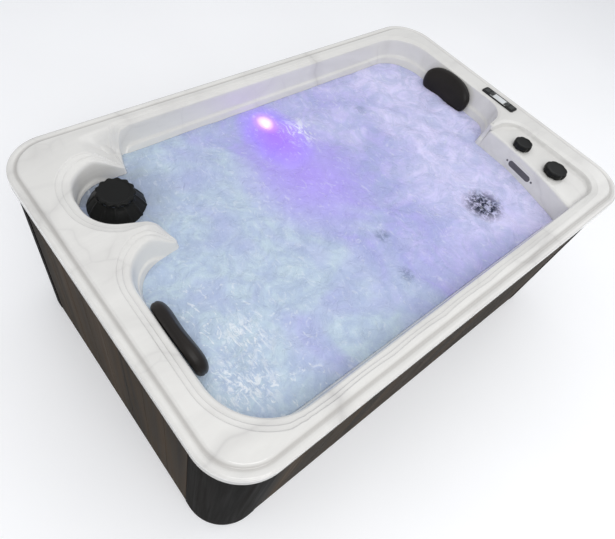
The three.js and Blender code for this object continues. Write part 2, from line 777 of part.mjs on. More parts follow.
function undersideRings(under, top, columns, last) {
  const rimUnder = (inset, drop) => columns.map((column) => {
    const [x, y] = rimPoint(column.rimShare, inset);
    return [x, y, tubHeight - drop];
  });
  under.push(rimUnder(lipThickness, lipDrop));
  under.push(rimUnder(lipThickness, flangeDrop));
  // The flange stays flat over the frame, also where the frame cuts the corners
  const flat = rimRadius - frameInset - frameTube - shellThickness / 4;
  under.push(columns.map((column) => {
    const t = column.rimShare % 2;
    const corner = t < 1 ? Math.SQRT1_2 / Math.cos(((t - 0.5) * Math.PI) / 2) : 1;
    const [x, y] = rimPoint(column.rimShare, rimRadius - flat * corner);
    return [x, y, tubHeight - flangeDrop];
  }));
  const innerFrom = { shelf: 1, bay: 4 };
  const shifted = (ring, out, down) => ring.map(([x, y, z], j) => {
    const { kind, inner } = columns[j];
    const frame = ring.level >= innerFrom[kind] ? inner : columns[j];
    return [x - frame.normal.x * out, y - frame.normal.y * out, z - down];
  });
  const edgeRing = top[12].slice();
  under.push(shifted(edgeRing, shellThickness, shellThickness + edgeRollWidth / 2).map(([x, y, z]) =>
    [x, y, Math.min(z, tubHeight - flangeDrop)]));
  const wallSteps = [[0, 1, 0.9], [1, 1, 0.6], [3, 1, 0.6], [4, 1, 0.8], [5, 0.6, 1], [6, 0.4, 1]];
  wallSteps.forEach(([i, outShare, downShare]) => {
    const ring = top[13 + i].slice();
    ring.level = i;
    under.push(shifted(ring, shellThickness * outShare, shellThickness * downShare));
  });
  const floors = [top[13 + last], ...floorRingShares.map((_, i) => top[14 + last + i])];
  [0, 2, 4, 5].forEach((i) => under.push(floors[i].map(([x, y, z]) => [x, y, z - shellThickness])));
}

function moulding() {
  const { top, under } = shellRings();
  const total = top[0].length;
  const all = [...top, ...under];
  const positions = all.flat(2);
  const faces = [];
  const spot = (i) => new THREE.Vector3(...positions.slice(3 * i, 3 * i + 3));
  // Each four-sided patch is split along its shorter diagonal
  const band = (a, b, flip) => {
    for (let j = 0; j < total; j += 1) {
      const k = (j + 1) % total;
      const quad = [a * total + j, a * total + k, b * total + k, b * total + j];
      if (flip) quad.reverse();
      const [p, q, r, t] = quad.map(spot);
      if (p.distanceTo(r) > q.distanceTo(t)) quad.push(quad.shift());
      faces.push(quad[0], quad[1], quad[2], quad[0], quad[2], quad[3]);
    }
  };
  const cap = (a, flip) => {
    const contour = all[a].map(([x, y]) => new THREE.Vector2(x, y));
    THREE.ShapeUtils.triangulateShape(contour, []).forEach((triple) => {
      const turned = flip ? [...triple].reverse() : triple;
      faces.push(...turned.map((i) => a * total + i));
    });
  };
  for (let i = 0; i + 1 < top.length; i += 1) band(i, i + 1, false);
  cap(top.length - 1, false);
  for (let i = top.length; i + 1 < all.length; i += 1) band(i, i + 1, true);
  cap(all.length - 1, true);
  band(0, top.length, true);
  const geometry = new THREE.BufferGeometry();
  geometry.setAttribute("position", new THREE.BufferAttribute(new Float32Array(positions), 3));
  geometry.setIndex(faces);
  return geometry;
}

const shellBlank = moulding();
const surface = new THREE.Mesh(shellBlank, new THREE.MeshBasicMaterial({ side: THREE.DoubleSide }));
surface.updateMatrixWorld(true);

// Where a line from a point meets the moulded surface: the seat plane of a fitting there
function seatAt(origin, way, depth) {
  const direction = new THREE.Vector3(...way);
  const ray = new THREE.Raycaster(new THREE.Vector3(...origin), direction);
  const hit = ray.intersectObject(surface)[0];
  const normal = hit.face.normal.clone();
  if (normal.dot(direction) > 0) normal.negate();
  const point = hit.point.clone().addScaledVector(normal, -depth);
  return frameAt(point, normal);
}

// A frame whose z is the normal and whose x is level, or along X where the normal is upright
function frameAt(point, normal) {
  const upright = Math.abs(normal.z) > Math.SQRT1_2;
  const guide = upright ? new THREE.Vector3(0, 1, 0) : zAxis;
  const level = new THREE.Vector3().crossVectors(guide, normal).normalize();
  const rise = new THREE.Vector3().crossVectors(normal, level);
  const matrix = new THREE.Matrix4().makeBasis(level, rise, normal).setPosition(point);
  return { point, normal, matrix };
}

// A geometry made on a seat's own axes, moved to the seat
const onSeat = (seat, geometry) => geometry.applyMatrix4(seat.matrix);

function placed(mesh, seat, lift = 0) {
  mesh.position.copy(seat.point).addScaledVector(seat.normal, lift);
  mesh.quaternion.setFromRotationMatrix(new THREE.Matrix4().extractRotation(seat.matrix));
  return mesh;
}

const cuts = [];
const cut = (geometry) => cuts.push(solid(geometry));

// A round cutter whose flats clear a round piece of the given radius
const drill = (from, to, radius, sides) =>
  rod(from, to, (radius + seatGap) / Math.cos(Math.PI / sides), sides);

// A spot-face for a flange and a bore for the body behind it
function cutSeat(seat, flange, bore, depth) {
  cut(onSeat(seat, drill([0, 0, 0], [0, 0, 2 * overrun], flange, 10)));
  cut(onSeat(seat, drill([0, 0, -depth - overrun], [0, 0, overrun], bore, 6)));
}

// Cabinet panels
const panelTop = lipBottom + panelTuck;
const frameOut = frameInset - seatGap;

function planks(width, low, high, railTop) {
  const outline = [[-width / 2, 0]];
  const count = Math.max(2, Math.round(width / plankPitch));
  for (let i = 1; i < count; i += 1) {
    const x = -width / 2 + (i * width) / count;
    outline.push([x - grooveHalf, 0], [x, grooveCut], [x + grooveHalf, 0]);
  }
  outline.push([width / 2, 0], [width / 2, panelThickness], [-width / 2, panelThickness]);
  const batten = (from, to) =>
    block([-width / 2, panelThickness - panelFoot, from], [width / 2, frameOut - panelInset, to]);
  const foot = panThickness + seatGap;
  return joined([
    raised(outline, low, high),
    batten(foot, foot + frameRail),
    batten(railTop - frameRail, Math.min(high, railTop)),
  ]);
}

function cornerPanel(sx, sy) {
  const outer = rimRadius - cornerInset;
  const inner = outer - cornerThickness;
  const steps = 8;
  const arc = (r, back) =>
    Array.from({ length: steps + 1 }, (_, i) => {
      const angle = ((back ? i : steps - i) / steps) * (Math.PI / 2);
      return [halfLength - rimRadius + r * Math.cos(angle), halfWidth - rimRadius + r * Math.sin(angle)];
    });
  const skin = cornerInset + cornerThickness;
  const endX = halfLength - cornerReach;
  const endY = halfWidth - cornerReach;
  const outline = [
    [endX, halfWidth - cornerInset],
    ...arc(outer, false),
    [halfLength - cornerInset, endY],
    [halfLength - frameOut, endY],
    [halfLength - frameOut, endY + cornerTab],
    [halfLength - skin, endY + cornerTab],
    ...arc(inner, true),
    [endX + cornerTab, halfWidth - skin],
    [endX + cornerTab, halfWidth - frameOut],
    [endX, halfWidth - frameOut],
  ];
  return raised(outline.map(([x, y]) => [x * sx, y * sy]), panelFoot, panelTop);
}

// Base pan and frame
const panX = halfLength - frameInset;
const panY = halfWidth - frameInset;
const endX = halfLength - frameEndSetback;
const chamfer = panX - endX;

function basePan() {
  const outline = [[1, 1], [-1, 1], [-1, -1], [1, -1]].flatMap(([sx, sy]) => {
    const pair = [[sx * panX, sy * (panY - chamfer)], [sx * endX, sy * panY]];
    return sx * sy > 0 ? pair : pair.reverse();
  });
  let pan = solid(raised(outline, 0, panThickness));
  const count = Math.floor(endX / panRibPitch);
  for (let i = -count; i <= count; i += 1) {
    const x = i * panRibPitch;
    const channel = block(
      [x - panRibWidth / 2, frameTube - panY, -overrun],
      [x + panRibWidth / 2, panY - frameTube, panRibDepth],
    );
    pan = pan.subtract(solid(channel));
  }
  return pan;
}

// How much shorter the inside of the frame's mitred corner is than its outside
const knee = frameTube * (Math.SQRT2 - 1);
const frameLow = panThickness + seatGap;
const frameHigh = tubHeight - flangeDrop - seatGap;

function sideFrame(sy) {
  const half = endX - knee;
  const count = Math.max(1, Math.round((2 * half) / frameStudPitch));
  const pitch = (2 * half - frameTube) / count;
  const ys = [sy * (panY - frameTube), sy * panY].sort((a, b) => a - b);
  let ladder = solid(block([-half, ys[0], frameLow], [half, ys[1], frameHigh]));
  for (let i = 0; i < count; i += 1) {
    const x = -half + frameTube + i * pitch;
    const bay = block(
      [x, ys[0] - overrun, frameLow + frameRail],
      [x + pitch - frameTube, ys[1] + overrun, frameHigh - frameRail],
    );
    ladder = ladder.subtract(solid(bay));
  }
  return ladder;
}

function endFrame(sx) {
  const start = endX - knee + seatGap;
  const half = [
    [start, panY],
    [endX, panY],
    [panX, panY - chamfer],
    [panX - frameTube, panY - chamfer - knee],
    [start, panY - frameTube],
  ];
  const mirrored = ([x, y]) => [x, -y];
  const outline = [
    half[0], half[1], half[2],
    mirrored(half[2]), mirrored(half[1]), mirrored(half[0]),
    mirrored(half[4]), mirrored(half[3]),
    half[3], half[4],
  ].map(([x, y]) => [x * sx, y]);
  const post = (y) => {
    const xs = [sx * (panX - frameTube), sx * panX].sort((a, b) => a - b);
    return block([xs[0], y, frameLow], [xs[1], y + frameTube, frameHigh]);
  };
  const span = panY - chamfer - knee;
  return joined([
    raised(outline, frameLow, frameLow + frameRail),
    raised(outline, frameHigh - frameRail, frameHigh),
    post(-span),
    post(-frameTube / 2),
    post(span - frameTube),
  ]);
}

piece("base_pan", basePan(), panPlastic);
piece("frame_front", sideFrame(-1), frameSteel);
piece("frame_back", sideFrame(1), frameSteel);
piece("frame_left", endFrame(-1), frameSteel);
piece("frame_right", endFrame(1), frameSteel);

const sideSpan = 2 * (halfLength - cornerReach - seamGap);
const endSpan = 2 * (halfWidth - cornerReach - seamGap);
const faceAt = (turn, x, y, mesh) => {
  mesh.rotation.z = turn;
  mesh.position.set(x, y, 0);
};
faceAt(0, 0, panelInset - halfWidth,
  piece("front_panel", planks(sideSpan, panelFoot, panelTop, frameHigh), board));
faceAt(Math.PI, 0, halfWidth - panelInset,
  piece("back_panel", planks(sideSpan, panelFoot, panelTop, frameHigh), board));
faceAt(-Math.PI / 2, panelInset - halfLength, 0,
  piece("left_panel", planks(endSpan, panelFoot, panelTop, frameHigh), board));
faceAt(Math.PI / 2, halfLength - panelInset, 0,
  piece("access_panel", planks(endSpan, panelFoot, lipBottom - accessDrop, frameHigh), board));
[["front_left", -1, -1], ["front_right", 1, -1], ["back_right", 1, 1], ["back_left", -1, 1]]
  .forEach(([name, sx, sy]) => piece(`corner_${name}`, cornerPanel(sx, sy), board));

// Control shelf: two valves with lobed knobs
const shelfTop = tubHeight - shelfDrop;

function knob(radius) {
  const lobe = (angle) => knobLobeShare * Math.cos(knobLobes * angle);
  const sides = knobLobes * 4;
  const outline = new THREE.Shape(ring(radius - knobEdge, sides, lobe).map((p) => new THREE.Vector2(...p)));
  const body = new THREE.ExtrudeGeometry(outline, {
    depth: knobHeight - 2 * knobEdge, bevelEnabled: true,
    bevelThickness: knobEdge, bevelSize: knobEdge, bevelSegments: 1,
  }).translate(0, 0, knobEdge);
  const bore = rod([0, 0, -overrun], [0, 0, knobHeight - knobWall], stemRadius + seatGap, 12);
  return solid(body).subtract(solid(bore));
}

function valve(radius) {
  const body = radius * valveBodyShare;
  const side = [body * 1.6, 0, -valveDepth * 0.7];
  return joined([
    rod([0, 0, 0], [0, 0, valveFlangeHeight], radius * valveFlangeShare, 20),
    rod([0, 0, -valveDepth], [0, 0, valveFlangeHeight / 2], body, 16),
    rod([0, 0, 0], [0, 0, valveFlangeHeight + knobHeight - knobWall - seatGap], stemRadius, 12),
    rod([0, 0, -valveDepth * 0.7], side, body * 0.45, 10),
  ]);
}

function shelfSpot(xShare, y) {
  const t = (y - shelfEnds[0][1]) / (shelfEnds[1][1] - shelfEnds[0][1]);
  return [mix(shelfLip(t).point.x, shelfEdge, xShare), y];
}

const controls = [
  ["diverter", frontKnobXShare, halfWidth * frontKnobYShare, frontKnobRadius],
  ["air", backKnobXShare, halfWidth * waterfallYShare + backKnobAside, backKnobRadius],
];
controls.forEach(([name, xShare, alongShelf, radius]) => {
  const [x, y] = shelfSpot(xShare, alongShelf);
  cut(drill([x, y, shelfTop - overrun], [x, y, shelfTop + overrun], radius * valveBodyShare, 12));
  piece(`${name}_valve`, valve(radius), blackPlastic, [x, y, shelfTop + seatGap]);
  piece(`${name}_knob`, knob(radius), blackPlastic, [x, y, shelfTop + valveFlangeHeight + 2 * seatGap]);
});

// Keypad: a body with a window and four buttons that travel
function keypad() {
  const plan = (length, width, y, low, high) =>
    solid(block([-width / 2, y - length / 2, low], [width / 2, y + length / 2, high]));
  const body = roundedBox(keypadWidth, keypadLength, keypadRound);
  let made = solid(raised(body, 0, keypadHeight));
  const pocket = (length, width, y) =>
    plan(length + 2 * keypadGap, width + 2 * keypadGap, y, keypadFloor, keypadHeight + overrun);
  made = made.subtract(pocket(windowLength, windowWidth, 0));
  buttonPlaces.forEach((y) => {
    made = made.subtract(pocket(buttonLength, buttonWidth, y));
  });
  return made;
}

const firstButton = (windowLength + buttonLength) / 2 + buttonSpace;
const secondButton = firstButton + buttonLength + buttonSpace;
const buttonPlaces = [-secondButton, -firstButton, firstButton, secondButton];
const keypadAt = [halfLength - keypadEdgeGap - keypadWidth / 2, halfWidth * keypadYShare, tubHeight + seatGap];
piece("keypad_body", keypad(), blackPlastic, keypadAt);
piece("keypad_window",
  raised(roundedBox(windowWidth, windowLength, windowSide), keypadFloor + seatGap, keypadHeight),
  smokeWindow, keypadAt);
buttonPlaces.forEach((y, i) => {
  const low = keypadFloor + buttonTravel + seatGap;
  const button = raised(roundedBox(buttonWidth, buttonLength, windowSide), low, keypadHeight + buttonRise);
  piece(`keypad_button_${i + 1}`, button, greyPlastic, [keypadAt[0], keypadAt[1] + y, keypadAt[2]]);
});

// Waterfall: a pill-shaped plate with a slot spout through it
const fallsSeat = seatAt(
  [halfLength / 2, halfWidth * waterfallYShare, tubHeight - waterfallDrop], [1, 0, 0], waterfallSeatDepth);
const plateOutline = (grow) => pill(waterfallPlateLength + grow, waterfallPlateHeight + grow);
const spoutOutline = (grow) => pill(waterfallSpoutLength + grow, waterfallSpoutHeight + grow);
cut(onSeat(fallsSeat, raised(plateOutline(2 * seatGap), 0, overrun * 2)));
cut(onSeat(fallsSeat, raised(spoutOutline(2 * seatGap), -overrun, overrun)));
const screws = [-1, 1].map((side) => {
  const x = (side * waterfallScrewSpan) / 2;
  return solid(rod([x, 0, waterfallPlateThickness / 2], [x, 0, overrun], waterfallScrewRadius, 10));
});
const plate = screws.reduce(
  (body, screw) => body.subtract(screw),
  solid(raised(plateOutline(0), 0, waterfallPlateThickness, [spoutOutline(2 * seatGap)])),
);
placed(piece("waterfall_plate", plate, acrylic), fallsSeat, seatGap);
const spout = solid(raised(spoutOutline(0), -waterfallDepth, waterfallPlateThickness)).subtract(
  solid(raised(spoutOutline(-2 * waterfallSpoutWall), waterfallSpoutWall - waterfallDepth, overrun)));
placed(piece("waterfall_spout", spout, greyPlastic), fallsSeat, seatGap);

// Filter: a canister in the bay floor, a pleated cartridge, a flared skirt and a lobed cap
const filterAt = [wellX + wellRadius * filterXShare, wellY + wellRadius * filterYShare];
const bayFloor = tubHeight - bayDrop;
const capLow = tubHeight - capDrop - capHeight;
cut(drill([...filterAt, bayFloor - 2 * overrun], [...filterAt, bayFloor + overrun / 2],
  canisterRadius, 24));

function canister() {
  const bottom = -canisterDepth;
  const bore = canisterRadius - canisterWall;
  const shellOfIt = turned([
    [0, bottom], [canisterRadius, bottom], [canisterRadius, 0], [canisterFlangeRadius, 0],
    [canisterFlangeRadius, canisterFlangeHeight], [bore, canisterFlangeHeight],
    [bore, bottom + canisterWall], [0, bottom + canisterWall],
  ], 28);
  const outlet = rod([0, 0, bottom - overrun], [0, 0, bottom + canisterWall / 2], suctionBodyRadius, 12);
  return solid(shellOfIt).add(solid(outlet));
}

function cartridge(height) {
  const pleats = ring(cartridgeRadius - pleatDepth / 2, cartridgePleats * 2, (angle) =>
    (Math.cos(cartridgePleats * angle) * pleatDepth) / (2 * cartridgeRadius - pleatDepth));
  return raised(pleats, 0, height);
}

function skirt() {
  const low = bayFloor + canisterFlangeHeight + 2 * seatGap - capLow + seatGap;
  const outer = wellRadius * skirtRadiusShare;
  const inner = skirtTubeRadius - skirtWall;
  const drop = -skirtFlareDrop;
  const profile = [
    [inner, low], [skirtTubeRadius, low], [skirtTubeRadius, -skirtHem * 2],
    [outer - skirtWall, drop - skirtHem], [outer, drop - skirtHem], [outer, drop],
    [skirtTubeRadius, -skirtWall], [skirtTubeRadius, 0], [inner, 0], [inner, low],
  ];
  const slope = Math.atan2(-drop - skirtWall, outer - skirtTubeRadius);
  const run = Math.hypot(drop + skirtWall, outer - skirtTubeRadius);
  const ribs = Array.from({ length: skirtRibs }, (_, i) => {
    const rib = block([0, -skirtRibWidth / 2, -skirtWall / 2], [run - skirtWall, skirtRibWidth / 2, skirtRibHeight]);
    rib.rotateY(slope).translate(skirtTubeRadius, 0, -skirtWall);
    return rib.rotateZ((i / skirtRibs) * 2 * Math.PI);
  });
  return joined([turned(profile, 20), ...ribs]);
}

function filterCap() {
  const lobe = (angle) => capLobeShare * Math.cos(capLobes * angle);
  const outline = ring(capRadius / (1 + capLobeShare), capLobes * 4, lobe);
  const recess = ring(capRadius - capRimWidth, 26);
  const dish = solid(raised(recess, capHeight - capRecess, capHeight + overrun));
  return solid(raised(outline, 0, capHeight)).subtract(dish);
}

piece("filter_canister", canister(), panPlastic, [...filterAt, bayFloor + seatGap]);
piece("filter_cartridge", cartridge(canisterDepth - canisterWall + cartridgeRise), filterPaper,
  [...filterAt, bayFloor - canisterDepth + canisterWall + 2 * seatGap]);
piece("filter_skirt", skirt(), blackPlastic, [...filterAt, capLow - seatGap]);
piece("filter_cap", filterCap(), blackPlastic, [...filterAt, capLow]);

// Light: a flanged housing through the back wall and a domed lens
const lightSeat = seatAt([halfLength * lightXShare, 0, tubHeight - lightDrop], [0, 1, 0], spotDepth);
cutSeat(lightSeat, lightRadius, lightBodyRadius, lightBodyDepth);
const lampHousing = joined([
  rod([0, 0, 0], [0, 0, flangeHeight], lightRadius, 24),
  rod([0, 0, -lightBodyDepth], [0, 0, flangeHeight / 2], lightBodyRadius, 16),
]);
placed(piece("led_housing", lampHousing, steel), lightSeat, seatGap);
const dome = Array.from({ length: 4 }, (_, i) => {
  const angle = (i / 3) * (Math.PI / 2);
  return [lensRadius * Math.cos(angle), flangeHeight + lensDome * Math.sin(angle)];
});
placed(piece("led_lens", turned([[0, flangeHeight], ...dome], 20), lensClear), lightSeat, 2 * seatGap);

// Jets: places as shares of the half length and half width, the way each ray looks, and a
// drop below the deck where it looks sideways
const jetPlaceShares = [
  ["front", -0.667, -0.3, [0, -1, 0], 0.3],
  ["front", -0.329, -0.3, [0, -1, 0], 0.3],
  ["front", -0.7, -0.3, [0, 0, -1], 0],
  ["front", -0.7, -0.6, [0, 0, -1], 0],
  ["front", 0.152, -0.25, [0, 0, -1], 0],
  ["front", 0.152, -0.54, [0, 0, -1], 0],
  ["back", -0.2, 0.3, [0, 1, 0], 0.45],
  ["back", 0.295, 0.3, [0, 1, 0], 0.45],
  ["back", -0.105, 0.27, [0, 0, -1], 0],
  ["back", -0.38, 0.3, [0, 0, -1], 0],
  ["back", 0.68, 0.3, [0, 0, -1], 0],
  ["back", 0.68, 0.6, [0, 0, -1], 0],
];
const jets = jetPlaceShares.map(([line, xShare, yShare, way, dropShare]) => {
  const origin = [halfLength * xShare, halfWidth * yShare, tubHeight - seatDepth * dropShare];
  return { line, seat: seatAt(origin, way, spotDepth) };
});

function jetFace() {
  const nozzle = rod([jetNozzleOffset, 0, jetFaceHeight - jetNozzleDepth],
    [jetNozzleOffset, 0, overrun], jetNozzleRadius, 6);
  return solid(rod([0, 0, 0], [0, 0, jetFaceHeight], jetFaceRadius, 12)).subtract(solid(nozzle));
}

jets.forEach(({ seat }, i) => {
  cutSeat(seat, jetRadius, jetBodyRadius, jetBodyDepth);
  placed(piece(`jet_face_${i + 1}`, jetFace(), blackPlastic), seat, flangeHeight + 2 * seatGap);
});

// The large foot jet below the control shelf
const footSeat = seatAt(
  [halfLength * 0.3, halfWidth * footJetYShare, tubHeight - footJetDrop], [1, 0, 0], spotDepth);
cutSeat(footSeat, footJetRadius, footJetBodyRadius, footJetDepth);
const footHousing = joined([
  rod([0, 0, 0], [0, 0, flangeHeight], footJetRadius, 28),
  rod([0, 0, -footJetDepth], [0, 0, flangeHeight / 2], footJetBodyRadius, 20),
]);
placed(piece("foot_jet_housing", footHousing, blackPlastic), footSeat, seatGap);
const footFaceRound = Array.from({ length: footJetHoles }, (_, i) => {
  const angle = (i / footJetHoles) * 2 * Math.PI;
  const [x, y] = [footJetRingRadius * Math.cos(angle), footJetRingRadius * Math.sin(angle)];
  return solid(rod([x, y, -overrun], [x, y, overrun], footJetHoleRadius, 6));
});
const footFace = footFaceRound.reduce(
  (body, hole) => body.subtract(hole),
  solid(turned([
    [0, 0], [footJetFaceRadius, 0], [footJetFaceRadius, footJetHeight / 2],
    [footJetFaceRadius * 0.85, footJetHeight], [footJetFaceRadius * 0.4, footJetHeight * 0.7],
    [0, footJetHeight * 1.2],
  ], 24)),
);
placed(piece("foot_jet_face", footFace, blackPlastic), footSeat, flangeHeight + 2 * seatGap);

// Pipes: jet bodies, risers and crossbars joined to one trunk for each lounger
const serviceX = halfLength - serviceInset;
const headerX = halfLength * headerXShare;
const trunkEnds = [-halfLength * 0.72, headerX - trunkRadius - seatGap];

function jetLine(line, sign) {
  const parts = [];
  const far = [];
  const trunkY = sign * halfWidth * trunkYShare;
  parts.push(rod([trunkEnds[0], trunkY, trunkHeight], [trunkEnds[1], trunkY, trunkHeight], trunkRadius, 8));
  jets.filter((jet) => jet.line === line).forEach(({ seat }) => {
    parts.push(onSeat(seat, rod([0, 0, seatGap], [0, 0, flangeHeight + seatGap], jetRadius, 10)));
    parts.push(onSeat(seat, rod([0, 0, -jetBodyDepth], [0, 0, flangeHeight], jetBodyRadius, 6)));
    const back = seat.point.clone().addScaledVector(seat.normal, pipeRadius - jetBodyDepth);
    const beyond = back.x > trunkEnds[1];
    const level = beyond ? trunkHeight + 3 * trunkRadius : trunkHeight;
    const past = back.y + Math.sign(back.y - trunkY) * pipeRadius * 1.7;
    parts.push(rod(back.toArray(), [back.x, back.y, level], pipeRadius, 6));
    parts.push(rod([back.x, past, level], [back.x, trunkY, level], pipeRadius * 1.25, 6));
    if (beyond) far.push([back.x, trunkY, level]);
  });
  // Jets beyond the trunk's end share one branch that steps down to it
  if (far.length) {
    const [x, y, level] = far.sort((p, q) => q[0] - p[0])[0];
    const inside = trunkEnds[1] - 2 * pipeRadius;
    parts.push(...run([[x, y, level], [inside, y, level], [inside, y, trunkHeight]], trunkRadius * 0.8));
  }
  return parts;
}

piece("jet_line_front", joined(jetLine("front", -1)), pipePlastic);
piece("jet_line_back", joined(jetLine("back", 1)), pipePlastic);

// A run of pipe through the given corners; each length overruns its bends by the radius
function run(corners, radius, sides = 8) {
  return corners.slice(1).map((corner, i) => {
    const from = new THREE.Vector3(...corners[i]);
    const to = new THREE.Vector3(...corner);
    const way = to.clone().sub(from).normalize().multiplyScalar(radius * Math.cos(Math.PI / sides));
    if (i > 0) from.sub(way);
    if (i + 2 < corners.length) to.add(way);
    return rod(from.toArray(), to.toArray(), radius, sides);
  });
}

// Suction fittings in the foot wells and the line that leads from them to the pump
const panTop = panThickness + seatGap;
const pumpAxis = panTop + pumpFoot + wetEndRadius;
const pumpStart = halfWidth * pumpStartYShare;
const wetStart = pumpStart + motorLength + seatGap;
const wetEnd = wetStart + wetEndLength;
const suctionLineY = wetEnd + suctionLineGap;
const suctions = suctionPlaceShares.map(([xShare, yShare]) =>
  seatAt([halfLength * xShare, halfWidth * yShare, tubHeight - bayDrop], [0, 0, -1], spotDepth));

function suctionCover() {
  const slots = Array.from({ length: suctionSlots }, (_, i) => {
    const angle = (i / suctionSlots) * 2 * Math.PI;
    const [x, y] = [suctionRingRadius * Math.cos(angle), suctionRingRadius * Math.sin(angle)];
    return solid(rod([x, y, suctionHeight / 2], [x, y, suctionHeight + overrun], suctionSlotRadius, 6));
  });
  const cover = turned([[0, 0], [suctionRadius, 0], [suctionRadius, suctionHeight * 0.4],
    [suctionRadius * 0.85, suctionHeight], [0, suctionHeight]], 20);
  return slots.reduce((body, slot) => body.subtract(slot), solid(cover));
}

suctions.forEach((seat, i) => {
  cutSeat(seat, suctionRadius, suctionBodyRadius, suctionBodyDepth);
  placed(piece(`suction_cover_${["front", "back"][i]}`, suctionCover(), blackPlastic), seat, seatGap);
});

const suctionParts = suctions.flatMap((seat) => {
  const { x, y, z } = seat.point.clone().addScaledVector(seat.normal, -suctionBodyDepth);
  return [
    onSeat(seat, rod([0, 0, -suctionBodyDepth], [0, 0, 0], suctionBodyRadius, 8)),
    ...run([[x, y, z + trunkRadius], [x, y, suctionLineHeight], [x, suctionLineY, suctionLineHeight]],
      trunkRadius),
  ];
});
const farSuction = Math.min(...suctions.map(({ point }) => point.x));
suctionParts.push(...run([
  [farSuction, suctionLineY, suctionLineHeight],
  [serviceX, suctionLineY, suctionLineHeight],
  [serviceX, suctionLineY, pumpAxis],
  [serviceX, wetEnd + seatGap, pumpAxis],
], trunkRadius));
piece("suction_line", joined(suctionParts), pipePlastic);

// Pump: a finned motor and a wet end with its discharge port
function motor() {
  const fins = Array.from({ length: motorFins }, (_, i) => {
    const fin = block([0, -finWidth / 2, finWidth], [motorRadius + finHeight, finWidth / 2, motorLength * 0.8]);
    return fin.rotateZ(((i + 0.5) / motorFins) * 2 * Math.PI);
  });
  return joined([rod([0, 0, 0], [0, 0, motorLength], motorRadius, 16), ...fins])
    .rotate([-90, 0, 0]).translate([serviceX, pumpStart, pumpAxis])
    .add(solid(block([serviceX - footWidth, pumpStart + footWidth / 2, panTop],
      [serviceX + footWidth, pumpStart + footWidth, pumpAxis - motorRadius / 2])));
}

piece("pump_motor", motor(), motorPaint);
const wetMiddle = (wetStart + wetEnd) / 2;
const portTop = pumpAxis + wetEndRadius + portRise;
piece("pump_wet_end", joined([
  rod([serviceX, wetStart, pumpAxis], [serviceX, wetEnd, pumpAxis], wetEndRadius, 20),
  rod([serviceX, wetMiddle, pumpAxis], [serviceX, wetMiddle, portTop], portRadius, 12),
  block([serviceX - footWidth, wetStart + saddleWidth, panTop],
    [serviceX + footWidth, wetEnd - saddleWidth, pumpAxis]),
]), blackPlastic);

// Heater on its saddles, fed from the pump, and the header that feeds the jet lines
const heaterX = serviceX - heaterSetback;
const heaterY = halfWidth * heaterYShare;
const heaterAxis = panTop + saddleHeight + heaterRadius;
const saddle = (y) => block([heaterX - heaterRadius, y, panTop],
  [heaterX + heaterRadius, y + saddleWidth, heaterAxis]);
piece("heater_tube", joined([
  rod([heaterX, heaterY, heaterAxis], [heaterX, heaterY + heaterLength, heaterAxis], heaterRadius, 16),
  saddle(heaterY + saddleWidth),
  saddle(heaterY + heaterLength - 2 * saddleWidth),
  ...run([
    [serviceX, wetMiddle, portTop + seatGap],
    [serviceX, wetMiddle, portTop + pressureRise],
    [heaterX, wetMiddle, portTop + pressureRise],
    [heaterX, heaterY - heaterRadius, portTop + pressureRise],
    [heaterX, heaterY - heaterRadius, heaterAxis],
    [heaterX, heaterY + saddleWidth, heaterAxis],
  ], trunkRadius),
]), steel);
const trunkY = halfWidth * trunkYShare;
const heaterEnd = heaterY + heaterLength + seatGap;
piece("header_line", joined(run([
  [heaterX, heaterEnd, heaterAxis],
  [heaterX, heaterEnd + 2 * trunkRadius, heaterAxis],
  [heaterX, heaterEnd + 2 * trunkRadius, trunkHeight],
  [headerX, heaterEnd + 2 * trunkRadius, trunkHeight],
  [headerX, -trunkY - trunkRadius, trunkHeight],
], trunkRadius)), pipePlastic);

// Control box and drain behind the access panel
const boxY = halfWidth * boxYShare;
piece("control_box", joined([
  block([serviceX - boxWidth / 2, boxY - boxLength / 2, panTop],
    [serviceX + boxWidth / 2, boxY + boxLength / 2, panTop + boxHeight]),
  block([serviceX + boxWidth / 2 - boxRim, boxY - boxLength / 2 - boxRim, panTop + boxRim],
    [serviceX + boxWidth / 2 + boxLid, boxY + boxLength / 2 + boxRim, panTop + boxHeight + boxRim]),
]), greyPlastic);
const railTop = frameLow + frameRail;
const drainEnd = halfLength - drainSetback;
piece("drain_valve", joined([
  rod([serviceX + trunkRadius + seatGap, suctionLineY, drainHeight],
    [drainEnd, suctionLineY, drainHeight], drainRadius, 12),
  block([drainEnd - drainBracket * 1.2, suctionLineY - drainRadius, railTop + seatGap],
    [drainEnd - drainBracket / 4, suctionLineY + drainRadius, drainHeight]),
]), pipePlastic);
piece("drain_cap", raised(ring(drainCapRadius, 12), 0, drainCapLength), blackPlastic,
  [drainEnd + seatGap, suctionLineY, drainHeight], new THREE.Vector3(1, 0, 0));

// Headrest pillows: kidney-shaped cushions, drawn in at the back, with a waist on the water
// side and a shallow saddle for the neck
const pillowColumns = 24;

function neckShare(x) {
  return (1 - x * x) ** 2;
}

function pillowOutline(share) {
  return Array.from({ length: pillowColumns }, (_, i) => {
    const angle = (i / pillowColumns) * 2 * Math.PI;
    const c = Math.cos(angle);
    const s = Math.sin(angle);
    const x = Math.sign(c) * Math.abs(c) ** pillowEndShare;
    const y = s > 0 ? s : -(Math.abs(s) ** pillowBluntShare) * (1 - pillowWaistShare * neckShare(x));
    return [(x * pillowLength * share) / 2, (y * pillowHeight * share) / 2];
  });
}

